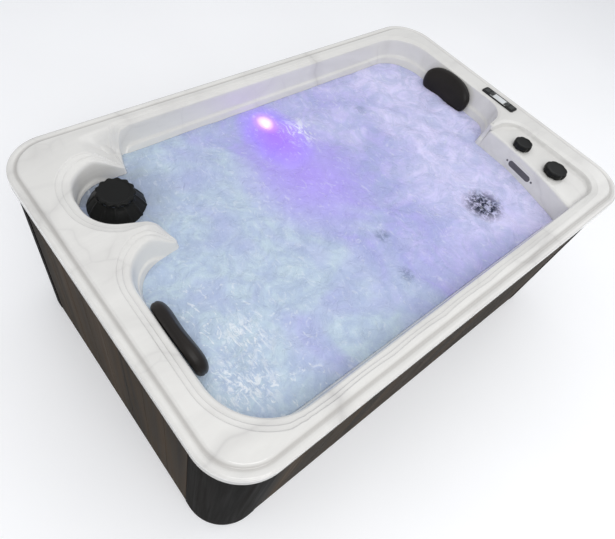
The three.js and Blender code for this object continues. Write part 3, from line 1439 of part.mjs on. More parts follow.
function pillow() {
  const columns = pillowColumns;
  const outline = pillowOutline;
  const crownShares = [[0.9, 0], [0.98, 0.45], [1, 1]];
  const topShares = [[0.96, 0.3], [0.85, 0.6], [0.66, 0.83], [0.42, 0.95], [0.2, 1]];
  const crown = (x, rise) =>
    mix(pillowSeam, pillowDepth * (1 - pillowSaddleShare * neckShare((2 * x) / pillowLength)), rise);
  const rings = [
    ...crownShares.map(([share, rise]) => outline(share).map(([x, y]) => [x, y, pillowSeam * rise])),
    ...topShares.map(([share, rise]) =>
      outline(share).map(([x, y]) => [x, y, crown(x, rise)])),
  ];
  const positions = rings.flat(2);
  const faces = [];
  for (let r = 0; r + 1 < rings.length; r += 1)
    for (let i = 0; i < columns; i += 1) {
      const k = (i + 1) % columns;
      const [a, b, c, d] = [r * columns + i, r * columns + k, (r + 1) * columns + k, (r + 1) * columns + i];
      faces.push(a, b, c, a, c, d);
    }
  const hub = (ringAt, z, flip) => {
    positions.push(0, 0, z);
    const centre = positions.length / 3 - 1;
    for (let i = 0; i < columns; i += 1) {
      const pair = [ringAt * columns + i, ringAt * columns + ((i + 1) % columns)];
      if (flip) pair.reverse();
      faces.push(...pair, centre);
    }
  };
  hub(0, 0, true);
  hub(rings.length - 1, crown(0, 1), false);
  const geometry = new THREE.BufferGeometry();
  geometry.setAttribute("position", new THREE.BufferAttribute(new Float32Array(positions), 3));
  geometry.setIndex(faces);
  return geometry;
}

// How far a flat back of the given size can move along the seat's normal before it meets
// the moulding
function roomBehind(seat, outline) {
  const from = seat.normal.clone().multiplyScalar(overrun);
  const away = seat.normal.clone().negate();
  const shares = Array.from({ length: 16 }, (_, i) => i / 15);
  const distances = outline.flatMap(([x, y]) => shares.map((share) => {
    const spot = new THREE.Vector3(x * share, y * share, 0).applyMatrix4(seat.matrix).add(from);
    const hit = new THREE.Raycaster(spot, away).intersectObject(surface)[0];
    return hit ? hit.distance - overrun : overrun;
  }));
  return Math.min(...distances);
}

const wallLean = new THREE.Vector2(seatWallShares[1][1] * wallDrop - edgeRollDrop,
  seatWallShares[1][0] * wallRun);
[["left_pillow", 1, leftEdge, leftPillowYShare], ["right_pillow", -1, rightEdge, rightPillowYShare]]
  .forEach(([name, inward, edge, yShare]) => {
    const normal = new THREE.Vector3(inward * wallLean.x, 0, wallLean.y).normalize();
    const run = (seatWallShares[1][0] * wallRun * pillowDrop) / (seatWallShares[1][1] * wallDrop);
    const point = new THREE.Vector3(edge + inward * run, halfWidth * yShare, tubHeight - pillowDrop);
    const seat = frameAt(point, normal);
    const lift = seatGap - roomBehind(seat, pillowOutline(1));
    placed(piece(name, pillow(), pillowSkin), seat, lift);
  });

// The shell last, cut for everything that passes through it
piece("shell", cuts.reduce((body, tool) => body.subtract(tool), solid(shellBlank)), acrylic);

export default hotTub;
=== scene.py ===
import json
import bpy
import numpy as np
from bpy.props import FloatProperty, FloatVectorProperty, PointerProperty
from bpy.types import NodeSocket, Operator, Panel, PropertyGroup
from mathutils import Matrix, Vector
from mathutils.geometry import delaunay_2d_cdt


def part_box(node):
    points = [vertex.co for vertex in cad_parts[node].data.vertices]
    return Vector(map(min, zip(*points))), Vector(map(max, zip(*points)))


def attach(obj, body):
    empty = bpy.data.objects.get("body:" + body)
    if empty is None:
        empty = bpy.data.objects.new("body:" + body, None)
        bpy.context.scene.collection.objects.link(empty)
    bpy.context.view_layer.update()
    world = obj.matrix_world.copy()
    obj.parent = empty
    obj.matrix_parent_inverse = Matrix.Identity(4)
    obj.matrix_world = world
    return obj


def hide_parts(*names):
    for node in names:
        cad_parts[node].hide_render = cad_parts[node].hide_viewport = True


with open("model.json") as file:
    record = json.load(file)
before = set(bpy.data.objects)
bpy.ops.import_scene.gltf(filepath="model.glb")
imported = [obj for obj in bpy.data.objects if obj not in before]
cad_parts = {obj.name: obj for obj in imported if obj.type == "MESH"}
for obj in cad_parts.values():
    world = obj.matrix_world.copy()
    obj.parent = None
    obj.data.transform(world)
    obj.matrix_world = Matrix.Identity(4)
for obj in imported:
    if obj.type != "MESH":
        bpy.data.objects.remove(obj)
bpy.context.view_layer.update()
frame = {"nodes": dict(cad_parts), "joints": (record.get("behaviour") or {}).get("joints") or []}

bl_info = {
    "name": "Lounger hot tub",
    "version": (1, 0, 0),
    "blender": (4, 5, 0),
    "location": "View3D > Sidebar > Hot tub",
    "description": "Dresses a two-person hot tub: moulded shell, water, cabinet, fittings",
    "category": "Object",
}

# Sizes of the moulding, in metres
LENGTH, WIDTH, HEIGHT = 2.1, 1.372, 0.772
HALF_L, HALF_W = LENGTH / 2, WIDTH / 2
RIM_RADIUS, RIM_DEPTH = 0.165, 0.0495
DECK_INSET, DECK_GUARD = 0.039, 0.004
EDGE_Y = HALF_W - 0.087
LEFT_EDGE = -HALF_L + 0.121
RIGHT_EDGE = HALF_L - 0.117
SHELF_EDGE = HALF_L - 0.124
WELL_RADIUS = 0.137
WELL_X, WELL_Y = HALF_L * -0.736, HALF_W * 0.551
WALL_RUN, WALL_DROP, FLOOR_START = 0.1, 0.37, 0.15
SEAT_DEPTH, LANE_BLEND, SEAT_BLEND, BOLSTER = 0.567, 0.095, 0.036, 0.03
SLOPE = -0.155
SHELF_DROP, LEDGE_DROP, BAY_DROP = 0.025, 0.175, 0.231
STEP_OUTER, STEP_INNER, STEP_RUN, STEP_DROP, STEP_FALL = 0.05, 0.031, 0.003, 0.005, 0.001
EDGE_WIDTH, EDGE_DROP = 0.008, 0.011
SHEET, FLANGE_DROP, FLANGE_INSET, LIP_INSET, LIP_DROP = 0.008, 0.02, 0.0685, 0.006, 0.012
FINE = 5

# Corner boards: how far their face, skin and frame lie in from the shell's outline, how far
# they reach from the corner, the tab at either end, and how far their darker colour reaches
BOARD_FACE, BOARD_SKIN, BOARD_FRAME = 0.01, 0.024, 0.0282
BOARD_REACH, BOARD_TAB, BOARD_SHADE = 0.19, 0.018, 0.192

# The nose in front of the well: where its top starts to sink and the ways along and across it
NOSE_START = np.array([-0.775, 0.175])
NOSE_ALONG, NOSE_ACROSS = np.array([0.82, -0.57]), np.array([0.57, 0.82])
NOSE_FALL, POST_FALL = 0.085, 0.088

# The jets' seats: their radii by kind, and how far behind the turning face they lie
SEAT_RADII, SEAT_BACK, JET_LIFT = {"jet_": 0.03, "foot_jet": 0.075}, 0.0011, 0.0036

# Corners of the basin: x, y, rounding, columns on the arc and on the straight after it,
# rim shares, depth and width of the stepped edge, draft at both ends, reach, kind, mitred
CORNERS = [
    (LEFT_EDGE, -EDGE_Y, 0.212, 6, 8, 0, 1, 0.8, 0.9, 1, 1, 1, "seat", 0),
    (HALF_L * 0.675, -EDGE_Y, 0, 1, 1, None, None, 0.2, 0.6, 1, 1, 1, "shelf", 0),
    (SHELF_EDGE, -EDGE_Y, 0.1, 6, 3, 2, 3, 0.25, 0.5, 1, 1, 1, "shelf", 0),
    (SHELF_EDGE, HALF_W * -0.178, 0.1, 4, 2, 3.3, 3.38, 0.25, 0.3, 1, 1, 1, "shelf", 0),
    (HALF_L * 0.747, HALF_W * -0.163, 0.008, 2, 0, 3.4, 3.42, 0.3, 0.2, 1, 1, 1, "shelf", 0),
    (HALF_L * 0.747, HALF_W * -0.134, 0.008, 2, 1, 3.45, 3.46, 0.3, 0.2, 0.35, 0.7, 1, "seat", 0),
    (RIGHT_EDGE, HALF_W * -0.096, 0.11, 4, 3, 3.48, 3.6, 0.3, 0.2, 1, 1, 0.6, "seat", 0),
    (RIGHT_EDGE, EDGE_Y, 0.17, 6, 9, 4, 5, 0.3, 0.5, 1, 1, 0.9, "seat", 0),
    (WELL_X + WELL_RADIUS * 0.97, EDGE_Y, 0.025, 2, 0, 5.86, 5.88, 0.5, 0.6, 1, 1, 0.75, "seat", 1),
    (WELL_X + WELL_RADIUS * 0.708, WELL_Y + WELL_RADIUS * 0.79, 0.01, 4, 1, 5.91, 5.95,
     0.8, 1, 1, 0.3, 1, "bay", 0),
    (WELL_X - WELL_RADIUS, WELL_Y + WELL_RADIUS * 0.964, 0.137, 7, 0, 6, 7,
     1, 1, 0.3, 0.3, 1, "bay", 0),
    (WELL_X - WELL_RADIUS, WELL_Y - WELL_RADIUS * 0.964, 0.1233, 5, 2, 7.1, 7.27,
     1, 1, 0.3, 0.3, 1, "bay", 0),
    (WELL_X + WELL_RADIUS * 0.307, WELL_Y - WELL_RADIUS * 1.54, 0.025, 3, 0, 7.31, 7.335,
     1, 0.9, 0.3, 1.5, 1, "bay", 0),
    (WELL_X + WELL_RADIUS * 0.69, WELL_Y - WELL_RADIUS * 2.03, 0.013, 3, 1, 7.36, 7.385,
     1, 0.9, 1.1, 1.0, 1, "seat", 0),
    (LEFT_EDGE + 0.012, WELL_Y - WELL_RADIUS * 1.93, 0.15, 4, 3, 7.41, 7.56,
     0.9, 0.9, 1.1, 1, 0.65, "seat", 0),
]


def mixed(a, b, t):
    return a + (b - a) * t


def eased(t):
    t = np.clip(t, 0, 1)
    return t * t * (3 - 2 * t)


def lengths(v):
    return np.hypot(*v.T)


def walked_along(points):
    return np.concatenate([[0], np.cumsum(lengths(np.diff(points, axis=0)))])


def basin_columns(fine):
    """The basin's outline as columns: a polygon whose corners are arcs of a given radius, each
    arc and each straight cut into even steps. Returns points, inward normals, the normal that
    the wall runs down along, kinds, and the values mixed along each straight."""
    at = np.array([row[:2] for row in CORNERS])
    into = at - np.roll(at, 1, 0)
    before = lengths(into)
    into /= before[:, None]
    away = np.roll(into, -1, 0)
    angle = np.arctan2(into[:, 0] * away[:, 1] - into[:, 1] * away[:, 0], (into * away).sum(1))
    radius = np.array([row[2] for row in CORNERS])
    tangent = radius * np.tan(np.abs(angle) / 2)
    room = before / np.maximum(tangent + np.roll(tangent, 1), 1e-9)
    fit = np.minimum(1, np.minimum(room, np.roll(room, -1)))
    left = lambda v: np.stack([-v[..., 1], v[..., 0]], -1)
    arcs = []
    for i, row in enumerate(CORNERS):
        steps = (row[3] - 1) * fine + 1 if row[3] > 1 else 1
        share = np.linspace(0, 1, steps) if steps > 1 else np.array([0.5])
        start = at[i] - into[i] * tangent[i] * fit[i]
        centre = start + left(into[i]) * radius[i] * fit[i] * (np.sign(angle[i]) or 1)
        c, s = np.cos(angle[i] * share), np.sin(angle[i] * share)
        rotate = lambda v: np.stack([c * v[0] - s * v[1], s * v[0] + c * v[1]], -1)
        normal = rotate(left(into[i]))
        down = np.broadcast_to((left(into[i]) + left(away[i])) / (1 + np.cos(angle[i])), normal.shape)
        values = np.column_stack([np.full((steps, 2), row[7:9]), mixed(row[9], row[10], share),
                                  np.full(steps, row[11])])
        down = down if row[13] else normal
        arcs.append(np.hstack([centre + rotate(start - centre), normal, down, values]))
    table, kind, loose, marks = [], [], [], []
    for i, row in enumerate(CORNERS):
        arc, after = arcs[i], (i + 1) % len(CORNERS)
        if row[5] is not None:
            marks += [(len(kind), row[5]), (len(kind) + len(arc) - 1, row[6])]
        gap = (row[4] + 1) * fine
        straight = mixed(arc[-1], arcs[after][0], np.arange(1, gap)[:, None] / gap)
        straight[:, 4:6] = straight[:, 2:4]
        table += [arc, straight]
        apart = row[12] != CORNERS[after][12]
        kind += [row[12]] * (len(arc) + gap - 1)
        loose += [False] * len(arc) + [apart and j > row[4] * fine for j in range(1, gap)]
    point, normal, down, values = np.split(np.concatenate(table), [2, 4, 6], axis=1)
    marks.append((len(kind), 8))
    along = walked_along(np.vstack([point, point[:1]]))
    rim = np.interp(along[:-1], [along[a] for a, _ in marks], [b for _, b in marks])
    return {"point": point, "normal": normal / lengths(normal)[:, None], "down": down,
            "values": values, "kind": np.array(kind), "loose": np.array(loose), "rim": rim}


def rim_ring(share, inset, drop):
    """The rim's rounded rectangle: arcs and straights by turns as the share goes from 0 to 8."""
    r = RIM_RADIUS - inset
    k = np.floor(share).astype(int) % 8
    t = share - np.floor(share)
    quarter = k // 2

    def on_arc(q, turn):
        q = q % 4
        cx = np.where((q == 1) | (q == 2), 1, -1) * (HALF_L - RIM_RADIUS)
        cy = np.where(q > 1, 1, -1) * (HALF_W - RIM_RADIUS)
        a = np.pi * (1 + q / 2 + turn / 2)
        return np.stack([cx + r * np.cos(a), cy + r * np.sin(a)], -1)

    straight = mixed(on_arc(quarter, 1.0), on_arc(quarter + 1, 0.0), t[:, None])
    flat = np.where((k % 2 == 0)[:, None], on_arc(quarter, t), straight)
    return leveled(flat, drop)


def leveled(flat, drop):
    return np.column_stack([flat, np.full(len(flat), HEIGHT - drop)])


def on_floor(flat):
    return np.concatenate([flat, floor_height(flat[..., 0], flat[..., 1])[..., None]], -1)


# A lounger's profile: shares of the length from its head, and shares of the seat's full depth
LANE_PLACES = np.array([0.02, 0.075, 0.23, 0.29, 0.365, 0.46, 0.51, 0.67, 0.73, 0.78])
LANE_DROPS = np.array([0.3, 0.4, 0.806, 0.889, 0.868, 0.744, 0.723, 0.947, 1, 0.982])


def lane_height(u):
    """Seat height along a lounger: a smooth cubic through the table of places and drops."""
    share = np.clip(u / LENGTH, LANE_PLACES[0], LANE_PLACES[-1] - 1e-9)
    last = len(LANE_PLACES) - 1
    k = np.clip(np.searchsorted(LANE_PLACES, share, "right") - 1, 0, last - 1)
    a, b = np.maximum(np.arange(last + 1) - 1, 0), np.minimum(np.arange(last + 1) + 1, last)
    slope = (LANE_DROPS[b] - LANE_DROPS[a]) / (LANE_PLACES[b] - LANE_PLACES[a])
    span = LANE_PLACES[k + 1] - LANE_PLACES[k]
    t = (share - LANE_PLACES[k]) / span
    cubic = (LANE_DROPS[k] * (1 + 2 * t) * (1 - t) ** 2 + LANE_DROPS[k + 1] * t * t * (3 - 2 * t)
             + span * (slope[k] * t * (1 - t) ** 2 - slope[k + 1] * t * t * (1 - t)))
    return HEIGHT - SEAT_DEPTH * cubic


def floor_height(x, y):
    """Both loungers, eased into each other across the slanted line between them, with a rise
    of the fourth power towards the line and the walls."""
    divide = SLOPE * x
    side = eased((y - divide + LANE_BLEND) / (2 * LANE_BLEND))
    edge = np.where(y > divide, EDGE_Y, -EDGE_Y)
    across = np.clip(np.abs(2 * (y - divide) / (edge - divide) - 1), 0, 1)
    return mixed(lane_height(x - LEFT_EDGE), lane_height(RIGHT_EDGE - x), side) + BOLSTER * across ** 4


def shelf_lip(t):
    """The control shelf's lip: a parabola in plan, with its inward normal."""
    x1, y1, x2, y2 = HALF_L * 0.6743, -EDGE_Y + 0.0003, HALF_L * 0.7495, HALF_W * -0.163
    point = np.stack([x2 - (x2 - x1) * (1 - t) ** 2, mixed(y1, y2, t)], -1)
    slope = np.stack([2 * (x2 - x1) * (1 - t), np.full_like(t, y2 - y1)], -1)
    slope /= lengths(slope)[:, None]
    return point, np.stack([-slope[:, 1], slope[:, 0]], -1)


# Runs inward and drops: shares of the whole on a seat's wall, metres past the shelf's lip
SEAT_WALL = [(0.08, 0.176), (0.22, 0.297), (0.34, 0.446), (0.46, 0.554), (0.58, 0.65),
             (0.74, 0.81), (1, 1)]
SHELF_WALL = [(-0.006, SHELF_DROP), (0, SHELF_DROP + 0.0015), (0.006, SHELF_DROP + 0.006),
              (0.012, LEDGE_DROP), (0.05, LEDGE_DROP + 0.004), (0.058, LEDGE_DROP + 0.016)]


def wall_rings(c):
    """Eight rings down from the basin's edge. On a seat they follow the wall's table of run and
    drop and ease into the floor; past the shelf and the filter bay they follow inner lines."""
    point, down, kind = c["point"], c["down"], c["kind"]
    draft, reach = c["values"][:, 2], c["values"][:, 3]
    rings = np.zeros((8, len(point), 3))
    placed = lambda base, way, inset: base + way * np.reshape(inset, (-1, 1))
    for i, (run, drop) in enumerate(SEAT_WALL):
        flat = placed(point, down, run * WALL_RUN * draft * mixed(1, reach, run))
        z, floor = HEIGHT - drop * WALL_DROP, floor_height(flat[:, 0], flat[:, 1])
        rings[i] = np.column_stack([flat, (z + floor + np.hypot(z - floor, SEAT_BLEND)) / 2])
    rings[7] = on_floor(placed(point, down, FLOOR_START * reach * np.sqrt(draft)))
    s = np.flatnonzero((kind == "shelf") & ~c["loose"])
    walked = walked_along(point[s])
    rise = point[s, 1] - point[s[0], 1]
    inner, way = shelf_lip(np.clip(mixed(walked / walked[-1], rise / rise[-1], 0.7), 0, 1))
    rings[0, s] = leveled(placed(point[s], down[s], 0.006), SHELF_DROP)
    for i, (run, drop) in enumerate(SHELF_WALL):
        rings[i + 1, s] = leveled(placed(inner, way, run), drop)
    rings[7, s] = on_floor(placed(inner, way, 0.117))
    b = np.flatnonzero((kind == "bay") & ~c["loose"])
    start = point[b[0]] + c["normal"][b[0]] * WALL_RUN * 0.5
    end = point[b[-1]] + c["normal"][b[-1]] * WALL_RUN * 0.58 * draft[b[-1]]
    way = np.array([-(end - start)[1], (end - start)[0]])
    way /= np.hypot(*way)
    t = np.linspace(0, 1, len(b))[:, None]
    inner = mixed(start, end, t) + way * 0.014 * 4 * t * (1 - t)
    run = SEAT_WALL[1][0] * WALL_RUN * draft[b]
    for i, (inset, share) in enumerate([(run, 0.6), (run + 0.0102, 0.93), (run + 0.0238, 1)]):
        rings[i + 1, b] = leveled(placed(point[b], down[b], inset), BAY_DROP * share)
    for i, (inset, share) in enumerate([(0, 1), (0.012, 1.05), (0.045, 1.4)]):
        rings[i + 4, b] = leveled(placed(inner, way, inset), BAY_DROP * share)
    rings[7, b] = on_floor(placed(inner, way, 0.095))
    straightened(rings, c["loose"])
    return rings


def straightened(rings, loose):
    """Where one kind of wall passes into the next, points lie on the straight between them."""
    n = len(loose)
    for a in np.flatnonzero(loose & ~np.roll(loose, 1)):
        length = int(np.argmin(loose[a:])) if not loose[a:].all() else n - a
        t = (np.arange(1, length + 1) / (length + 1))[None, :, None]
        before, after = rings[:, (a - 1) % n], rings[:, (a + length) % n]
        rings[:, a:a + length] = mixed(before[:, None], after[:, None], t)


def spine_oval(foot, half=0.042):
    """A slim oval on the line between the loungers, one point for each point of a ring."""
    n, tilt = len(foot), np.arctan(SLOPE)
    angle = np.arctan2((foot[:, 1] - SLOPE * foot[:, 0]) / HALF_W, foot[:, 0] / HALF_L)
    opened = (angle - angle[0] + 4 * np.pi) % (2 * np.pi)
    opened[0] = 0
    opened = np.maximum.accumulate(opened)
    even = mixed(opened, np.arange(n) / n * 2 * np.pi, 0.3) + angle[0]
    along, aside = 0.45 * np.cos(even), half * np.sin(even)
    return np.stack([along * np.cos(tilt) - aside * np.sin(tilt),
                     along * np.sin(tilt) + aside * np.cos(tilt)], -1)


def step_room(c, deck):
    """How far each column can step out over the deck: less than the radius of the largest
    circle that touches the outline there from outside and holds no other point of it, and less
    than the way to the deck's outer edge. The limit then grows by 0.3 of the way walked."""
    point, out = c["point"], -c["normal"]

    def free(others, share):
        across = others[None] - point[:, None]
        height = (across * out[:, None]).sum(2)
        return np.where(height > 1e-5, (across ** 2).sum(2) / (share * np.maximum(height, 1e-5)), 9).min(1)

    limit = np.minimum(free(point, 2) * 0.8, free(deck[:, :2], 1) * 0.72)
    *walked, total = walked_along(np.vstack([point, point[:1]]))
    walked = np.array(walked)
    apart = np.abs(walked[None] - walked[:, None])
    apart = np.minimum(apart, total - apart)
    return (limit[None] + 0.3 * apart).min(1)


def coarse_rings(c):
    """Every ring of the moulding's upper face, from the rim's lower edge to the floor."""
    rim, depth, width = c["rim"], c["values"][:, 0], c["values"][:, 1]
    rings = [rim_ring(rim, inset, drop) for inset, drop in
             [(0, RIM_DEPTH), (0, 0.0135), (0.003, 0.0065), (0.013, 0.005), (0.028, 0.0115),
              (0.033, 0.0055), (DECK_INSET, 0), (DECK_INSET + DECK_GUARD, 0)]]
    room = np.clip(step_room(c, rings[-1]) / (STEP_OUTER * width), 0.02, 1)
    tread = STEP_DROP + STEP_FALL
    for out, drop in [(STEP_OUTER + DECK_GUARD, 0), (STEP_OUTER, 0),
                      (STEP_OUTER - STEP_RUN, STEP_DROP), (STEP_INNER, tread),
                      (STEP_INNER - STEP_RUN, tread + STEP_DROP),
                      (EDGE_WIDTH, tread + STEP_DROP + STEP_FALL * 2),
                      (0, tread + STEP_DROP + STEP_FALL * 2 + EDGE_DROP)]:
        flat = c["point"] - c["normal"] * (out * width * room)[:, None]
        rings.append(leveled(flat, drop * depth))
    rings += list(wall_rings(c))
    foot, oval = rings[-1], spine_oval(rings[-1])
    for share in (0.12, 0.26, 0.4, 0.54, 0.68, 0.8, 0.9, 1):
        rings.append(on_floor(mixed(foot[:, :2], oval, share)))
    return np.array(rings)


def ring_rounding(kind, count):
    """How far each ring's bend is rounded along the profile, in metres, for every column."""
    r = np.full((count, len(kind)), 1.0)
    r[:15] = np.array([0.003, 0.007, 0.004, 0.007, 0.006, 0.003, 0.003, 0.001, 0.001, 0.0016,
                       0.0012, 0.0016, 0.0012, 0.004, 0.012])[:, None]
    r[15:23, kind == "shelf"] = np.array([0.008, 0.006, 0.003, 0.006, 0.01, 0.006, 0.008, 0.04])[:, None]
    r[18:21, kind == "bay"] = np.array([0.012, 0.012, 0.01])[:, None]
    return r


def rounded_profile(rings, rounding, steps):
    """Each bend becomes a parabola between points on its two sides, as far away as the rounding
    says or half way to the next ring, so the profile has no corner."""
    def reach(other):
        gap = np.maximum(np.linalg.norm(other - rings, axis=2), 1e-6)
        return rings + (other - rings) * np.minimum(0.5, rounding / gap)[..., None]

    a, b = reach(np.roll(rings, 1, 0)), reach(np.roll(rings, -1, 0))
    out = [rings[0]]
    for i in range(1, len(rings) - 1):
        for t in np.linspace(0, 1, steps[i]):
            out.append(a[i] * (1 - t) ** 2 + rings[i] * 2 * t * (1 - t) + b[i] * t * t)
    return np.array(out + [rings[-1]])


def seat_axes(way):
    """A fitting's axes as rows: z along its normal, x level or along X where it faces up."""
    z = np.array(way, float) / np.linalg.norm(way)
    x = np.cross((0, 1, 0) if abs(z[2]) > 0.7071 else (0, 0, 1), z)
    x /= np.linalg.norm(x)
    return np.array([x, np.cross(z, x), z])


def jet_seats(kind):
    return [(np.array(joint["pos_m"]), seat_axes(joint["axis"])) for joint in frame["joints"]
            if joint["name"].startswith(kind)]


def flattened(points, margin=0.03):
    """Moves what lies near each jet onto its seat plane, fading out over a margin."""
    for kind, radius in SEAT_RADII.items():
        for place, (_, _, way) in jet_seats(kind):
            away = points - place + way * SEAT_BACK
            height = away @ way
            flat = np.linalg.norm(away - height[..., None] * way, axis=-1)
            weight = eased(1 - (flat - radius) / margin) * (np.abs(height) < margin)
            points = points - (height * weight)[..., None] * way
    return points


def sunk(points):
    """Lowers the tips of the deck at both ends of the filter well's opening, as the product of
    eased ramps along and across each tip, less the deeper a point lies."""
    x, y, z = points[..., 0], points[..., 1], points[..., 2]
    from_nose = points[..., :2] - NOSE_START
    along, across = from_nose @ NOSE_ALONG, from_nose @ NOSE_ACROSS
    nose = eased(along / 0.12) * eased((0.24 - along) / 0.08) * eased((0.13 - np.abs(across)) / 0.06)
    post = (eased((x + 0.8) / 0.15) * eased((0.612 - y) / 0.04) * eased((-0.6 - x) / 0.04)
            * eased((y - 0.38) / 0.06))
    fall = np.maximum(nose * NOSE_FALL, post * POST_FALL) * np.clip((z - 0.5) / 0.272, 0, 1)
    return points - fall[..., None] * (0, 0, 1)


def inside_loop(places, loop):
    """True for each place that a ray to the right of it crosses the loop an odd number of times."""
    a, b = loop[:, :2], np.roll(loop, -1, 0)[:, :2]
    x, y = places[:, :1], places[:, 1:2]
    rises = (a[:, 1] > y) != (b[:, 1] > y)
    span = np.where(b[:, 1] == a[:, 1], 1, b[:, 1] - a[:, 1])
    cross = a[:, 0] + (y - a[:, 1]) / span * (b[:, 0] - a[:, 0])
    return ((rises & (x < cross)).sum(1) % 2) == 1


def deck_sheet(outer, inner, pitch=0.008):
    """Triangles of the flat deck between two loops, with a grid of added points where it sinks.
    Returns the added points and the triangles, numbered outer loop, inner loop, added."""
    n = len(outer)
    grid = np.stack(np.meshgrid(np.arange(-0.84, -0.6, pitch), np.arange(0.06, 0.66, pitch)), -1)
    grid = grid.reshape(-1, 2)
    on_deck = lambda places: inside_loop(places, outer) & ~inside_loop(places, inner)
    loops = np.vstack([outer, inner])[:, :2]
    gap = np.hypot(*(grid[:, None] - loops[None]).transpose(2, 0, 1)).min(1)
    grid = grid[(gap > pitch / 2) & on_deck(grid)]
    spots = np.vstack([loops, grid])
    side = np.stack([np.arange(n), (np.arange(n) + 1) % n], -1)
    sides = np.vstack([side, side + n]).tolist()
    made = delaunay_2d_cdt([Vector(q) for q in spots], sides, [], 0, 0.0, True)
    if len(made[0]) != len(spots):
        raise RuntimeError("the deck's loops cross")
    cut = np.array([ids[0] for ids in made[3]])[np.array(made[2])]
    a, b, c = (spots[cut[:, i]] for i in range(3))
    turn = (b - a)[:, 0] * (c - a)[:, 1] - (b - a)[:, 1] * (c - a)[:, 0]
    cut = np.where(turn[:, None] < 0, cut[:, ::-1], cut)[on_deck((a + b + c) / 3)]
    return np.column_stack([grid, np.full(len(grid), outer[0, 2])]), cut


def grid_faces(rows, n, ring=False):
    """Faces between neighbouring rows of n points. Each row closes on itself, and a ring's last
    row joins its first."""
    j, i = np.arange(n), np.arange(rows if ring else rows - 1)[:, None]
    here, there, k = i * n, (i + 1) % rows * n, (j + 1) % n
    return np.stack([here + j, here + k, there + k, there + j], -1).reshape(-1, 4)


def closed_faces(rows, n, ring=False):
    """The faces of a grid, with a face at either end if it isn't a ring."""
    ends = [] if ring else [list(range(n))[::-1], list(range(rows * n - n, rows * n))]
    return grid_faces(rows, n, ring).tolist() + ends


def shell_faces(rings, under, level=None):
    """Joins rings of an upper face to rings of an underside into one closed skin. The middle
    of each side is one flat-filled face. After the level row, the band to the next is the
    deck's sheet. Returns points and faces."""
    n, start = rings.shape[1], rings.shape[0] * rings.shape[1]
    points = np.concatenate([rings.reshape(-1, 3), under.reshape(-1, 3)])
    j = np.arange(n)
    side = np.stack([start + j, start + (j + 1) % n, (j + 1) % n, j], -1)
    upper, faces = grid_faces(len(rings), n), []
    if level is not None:
        upper = np.delete(upper, np.arange(level * n, (level + 1) * n), axis=0)
        added, cut = deck_sheet(rings[level], rings[level + 1])
        faces = np.where(cut < 2 * n, cut + level * n, cut - 2 * n + len(points)).tolist()
    ends = [(start - n + j).tolist(), (len(points) - n + j)[::-1].tolist()]
    faces += np.concatenate([upper, grid_faces(len(under), n)[:, ::-1] + start, side]).tolist() + ends
    return (points, faces) if level is None else (sunk(np.concatenate([points, added])), faces)


def around(n):
    return np.arange(n) / n * 2 * np.pi


def turned(radius, height):
    """Points of a turned form: a circle for each row of a profile. Radius is a table of rows by
    columns of an angle, and height has one column."""
    angle = around(radius.shape[1])
    return np.dstack([radius * np.cos(angle), radius * np.sin(angle),
                      np.broadcast_to(height, radius.shape)])


def foot_of(box):
    """The middle of a box's lower face."""
    return np.array([*box.mean(0)[:2], box[0][2]])


def added(name, data):
    """A new object in the scene, at the origin."""
    obj = bpy.data.objects.new(name, data)
    bpy.context.scene.collection.objects.link(obj)
    return obj


def placed_piece(name, points, faces, look, body, stands_for=(), slot=None, smooth=True):
    """Makes points and faces an object at the origin that rides on a body and has one finish.
    The slot argument is not used."""
    slot = slot or look
    mesh = bpy.data.meshes.new(name)
    mesh.from_pydata(np.reshape(points, (-1, 3)), [], faces)
    obj = added(name, mesh)
    mesh.materials.append(finish(look))
    mesh.polygons.foreach_set("use_smooth", np.full(len(mesh.polygons), smooth))
    mesh.update()
    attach(obj, body)
    if stands_for:
        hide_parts(*stands_for)
    return obj


def lobed_grip(name, profile, wave, swell, radius, foot, body, node):
    """A turned grip. Each row of its profile has a share of the radius, a height and how far
    the lobes reach there. The lobes are a wave round it, and swell is the wave's height."""
    profile = np.array(profile)
    r = radius * profile[:, :1] * (1 + profile[:, 2:] * wave) / (1 + swell)
    placed_piece(name, turned(r, profile[:, 1:2]) + foot, closed_faces(*r.shape), "black_plastic",
                 body, (node,))


def dress(look, *nodes):
    """Gives carried-over solids one finish."""
    for node in nodes:
        mesh = frame["nodes"][node].data
        mesh.materials.clear()
        mesh.materials.append(finish(look))


class TubSizes(PropertyGroup):
    water_level: FloatProperty(name="Water level", description="Height of the water",
                               default=0.655, min=0.5, max=0.7, unit="LENGTH")
    ripple: FloatProperty(name="Ripple", description="Height of the ripples on the water",
                          default=0.0034, min=0, max=0.01, unit="LENGTH")
    vein_scale: FloatProperty(name="Vein scale", description="Veins to a metre of acrylic",
                              default=2.3, min=0.5, max=10)


class TubColours(PropertyGroup):
    acrylic: FloatVectorProperty(name="Acrylic", description="Ground colour of the shell",
                                 subtype="COLOR", size=3, default=(0.755, 0.742, 0.705))
    vein: FloatVectorProperty(name="Vein", description="Colour of the veins in the shell",
                              subtype="COLOR", size=3, default=(0.46, 0.445, 0.43))
    board: FloatVectorProperty(name="Board", description="Colour of the cabinet boards",
                               subtype="COLOR", size=3, default=(0.027, 0.0223, 0.0171))
    water: FloatVectorProperty(name="Water", description="Colour of the water",
                               subtype="COLOR", size=3, default=(0.585, 0.705, 0.80))
    glow: FloatVectorProperty(name="Glow", description="Colour of the lamp's glow",
                              subtype="COLOR", size=3, default=(0.40, 0.18, 1.0))


def rgba(colour):
    """Four values from a grey or a colour, or a node's output as it is."""
    if isinstance(colour, NodeSocket):
        return colour
    return (*((colour,) * 3 if isinstance(colour, (int, float)) else colour), 1)


